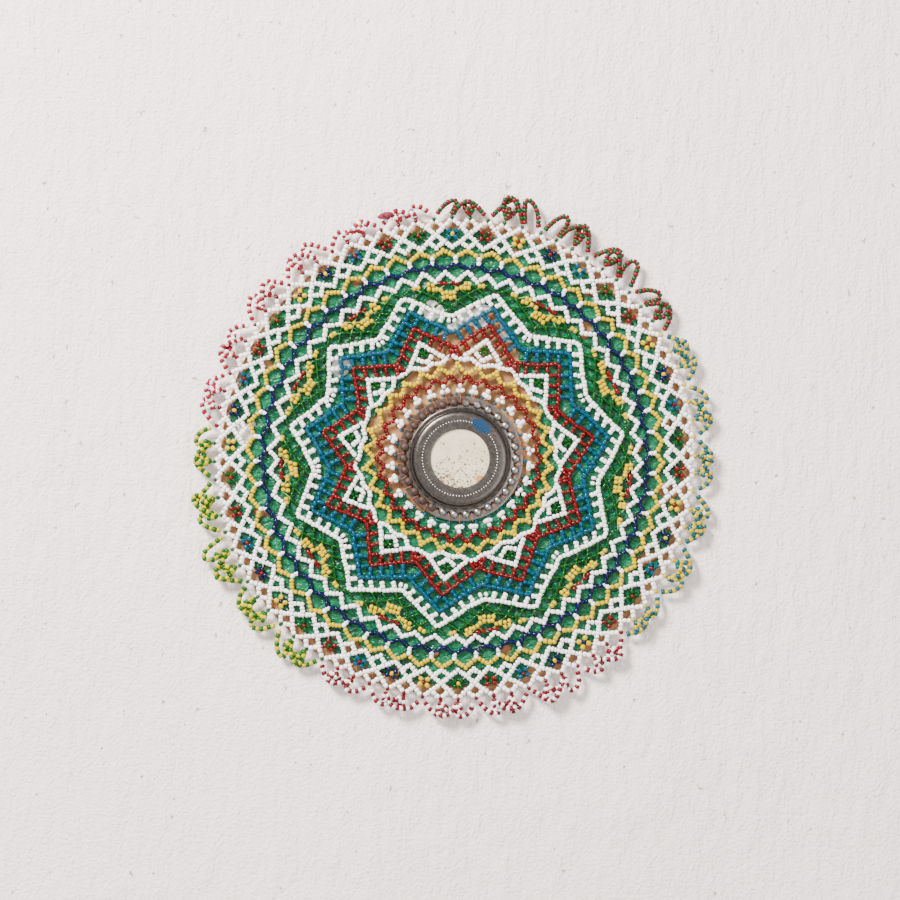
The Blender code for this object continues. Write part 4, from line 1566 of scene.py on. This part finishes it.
plaster = Finish("plaster", roughness=0.9)
trowel = plaster.clouds(9.0, 6.0, 0.62, (1.0, 1.0, 0.6))
pit = plaster.clouds(190.0, 5.0, 0.65)
limewash = plaster.mix(plaster.clouds(4.0, 3.0), (0.845, 0.762, 0.742, 1.0), (0.92, 0.845, 0.825, 1.0))
pock = pit.between(0.66, 0.72)
plaster.feed("Base Color", plaster.mix(pock * 0.4, limewash, (0.42, 0.34, 0.27, 1.0)))
stroke = plaster.clouds(150.0, 4.0, 0.6, (1.0, 1.0, 0.3))
plaster.bump(trowel * 4.0 + stroke * 1.0 + plaster.clouds(700.0, 3.0) * 0.5 - pock * 0.7, 0.0018)
see_through = plaster.node("ShaderNodeBsdfTransparent", out=0)
behind = plaster.node("ShaderNodeNewGeometry", out="Backfacing")
one_sided = plaster.tree.nodes.new("ShaderNodeMixShader")
plaster.tree.links.new(behind.socket, one_sided.inputs[0])
plaster.tree.links.new(plaster.shader.outputs[0], one_sided.inputs[1])
plaster.tree.links.new(see_through.socket, one_sided.inputs[2])
plaster.tree.links.new(one_sided.outputs[0], plaster.tree.nodes["Material Output"].inputs[0])

corners = [(-1, -1), (1, -1), (1, 1), (-1, 1)]
wall_mesh = bpy.data.meshes.new("wall")
wall_mesh.from_pydata([(x * WALL_HALF, WALL_BACK, z * WALL_HALF) for x, z in corners], [], [(0, 1, 2, 3)])
wall_mesh.materials.append(plaster.material)
wall = bpy.data.objects.new("wall", wall_mesh)
bpy.context.scene.collection.objects.link(wall)
wall.visible_shadow = False


def soft_light(name, spot, size, power, colour):
    """A square area light that points at the ornament."""
    lamp = bpy.data.lights.new(name, "AREA")
    lamp.size = size
    lamp.energy = power
    lamp.color = colour
    holder = bpy.data.objects.new(name, lamp)
    holder.location = spot
    holder.rotation_euler = (-Vector(spot)).to_track_quat("-Z", "Y").to_euler()
    bpy.context.scene.collection.objects.link(holder)


soft_light("key", (-0.72, -0.95, 0.90), 0.42, 84.0, (1.0, 0.96, 0.93))
soft_light("fill", (1.1, -1.5, -0.3), 1.6, 22.0, (1.0, 0.97, 0.95))
soft_light("rear", (0.5, 1.4, 0.9), 1.2, 16.0, (1.0, 0.98, 0.95))

world = bpy.data.worlds.new("room")
world.use_nodes = True
world.node_tree.nodes["Background"].inputs["Color"].default_value = (1.0, 0.96, 0.94, 1.0)
world.node_tree.nodes["Background"].inputs["Strength"].default_value = 1.0
bpy.context.scene.world = world

lens = bpy.data.cameras.new("camera")
lens.lens = LENS
lens.sensor_width = SENSOR
camera = bpy.data.objects.new("camera", lens)
camera.location = AIM + Vector((0.0, -SEEN_WIDTH * LENS / SENSOR, 0.0))
camera.rotation_euler = (math.pi / 2, 0.0, 0.0)
bpy.context.scene.collection.objects.link(camera)
bpy.context.scene.camera = camera
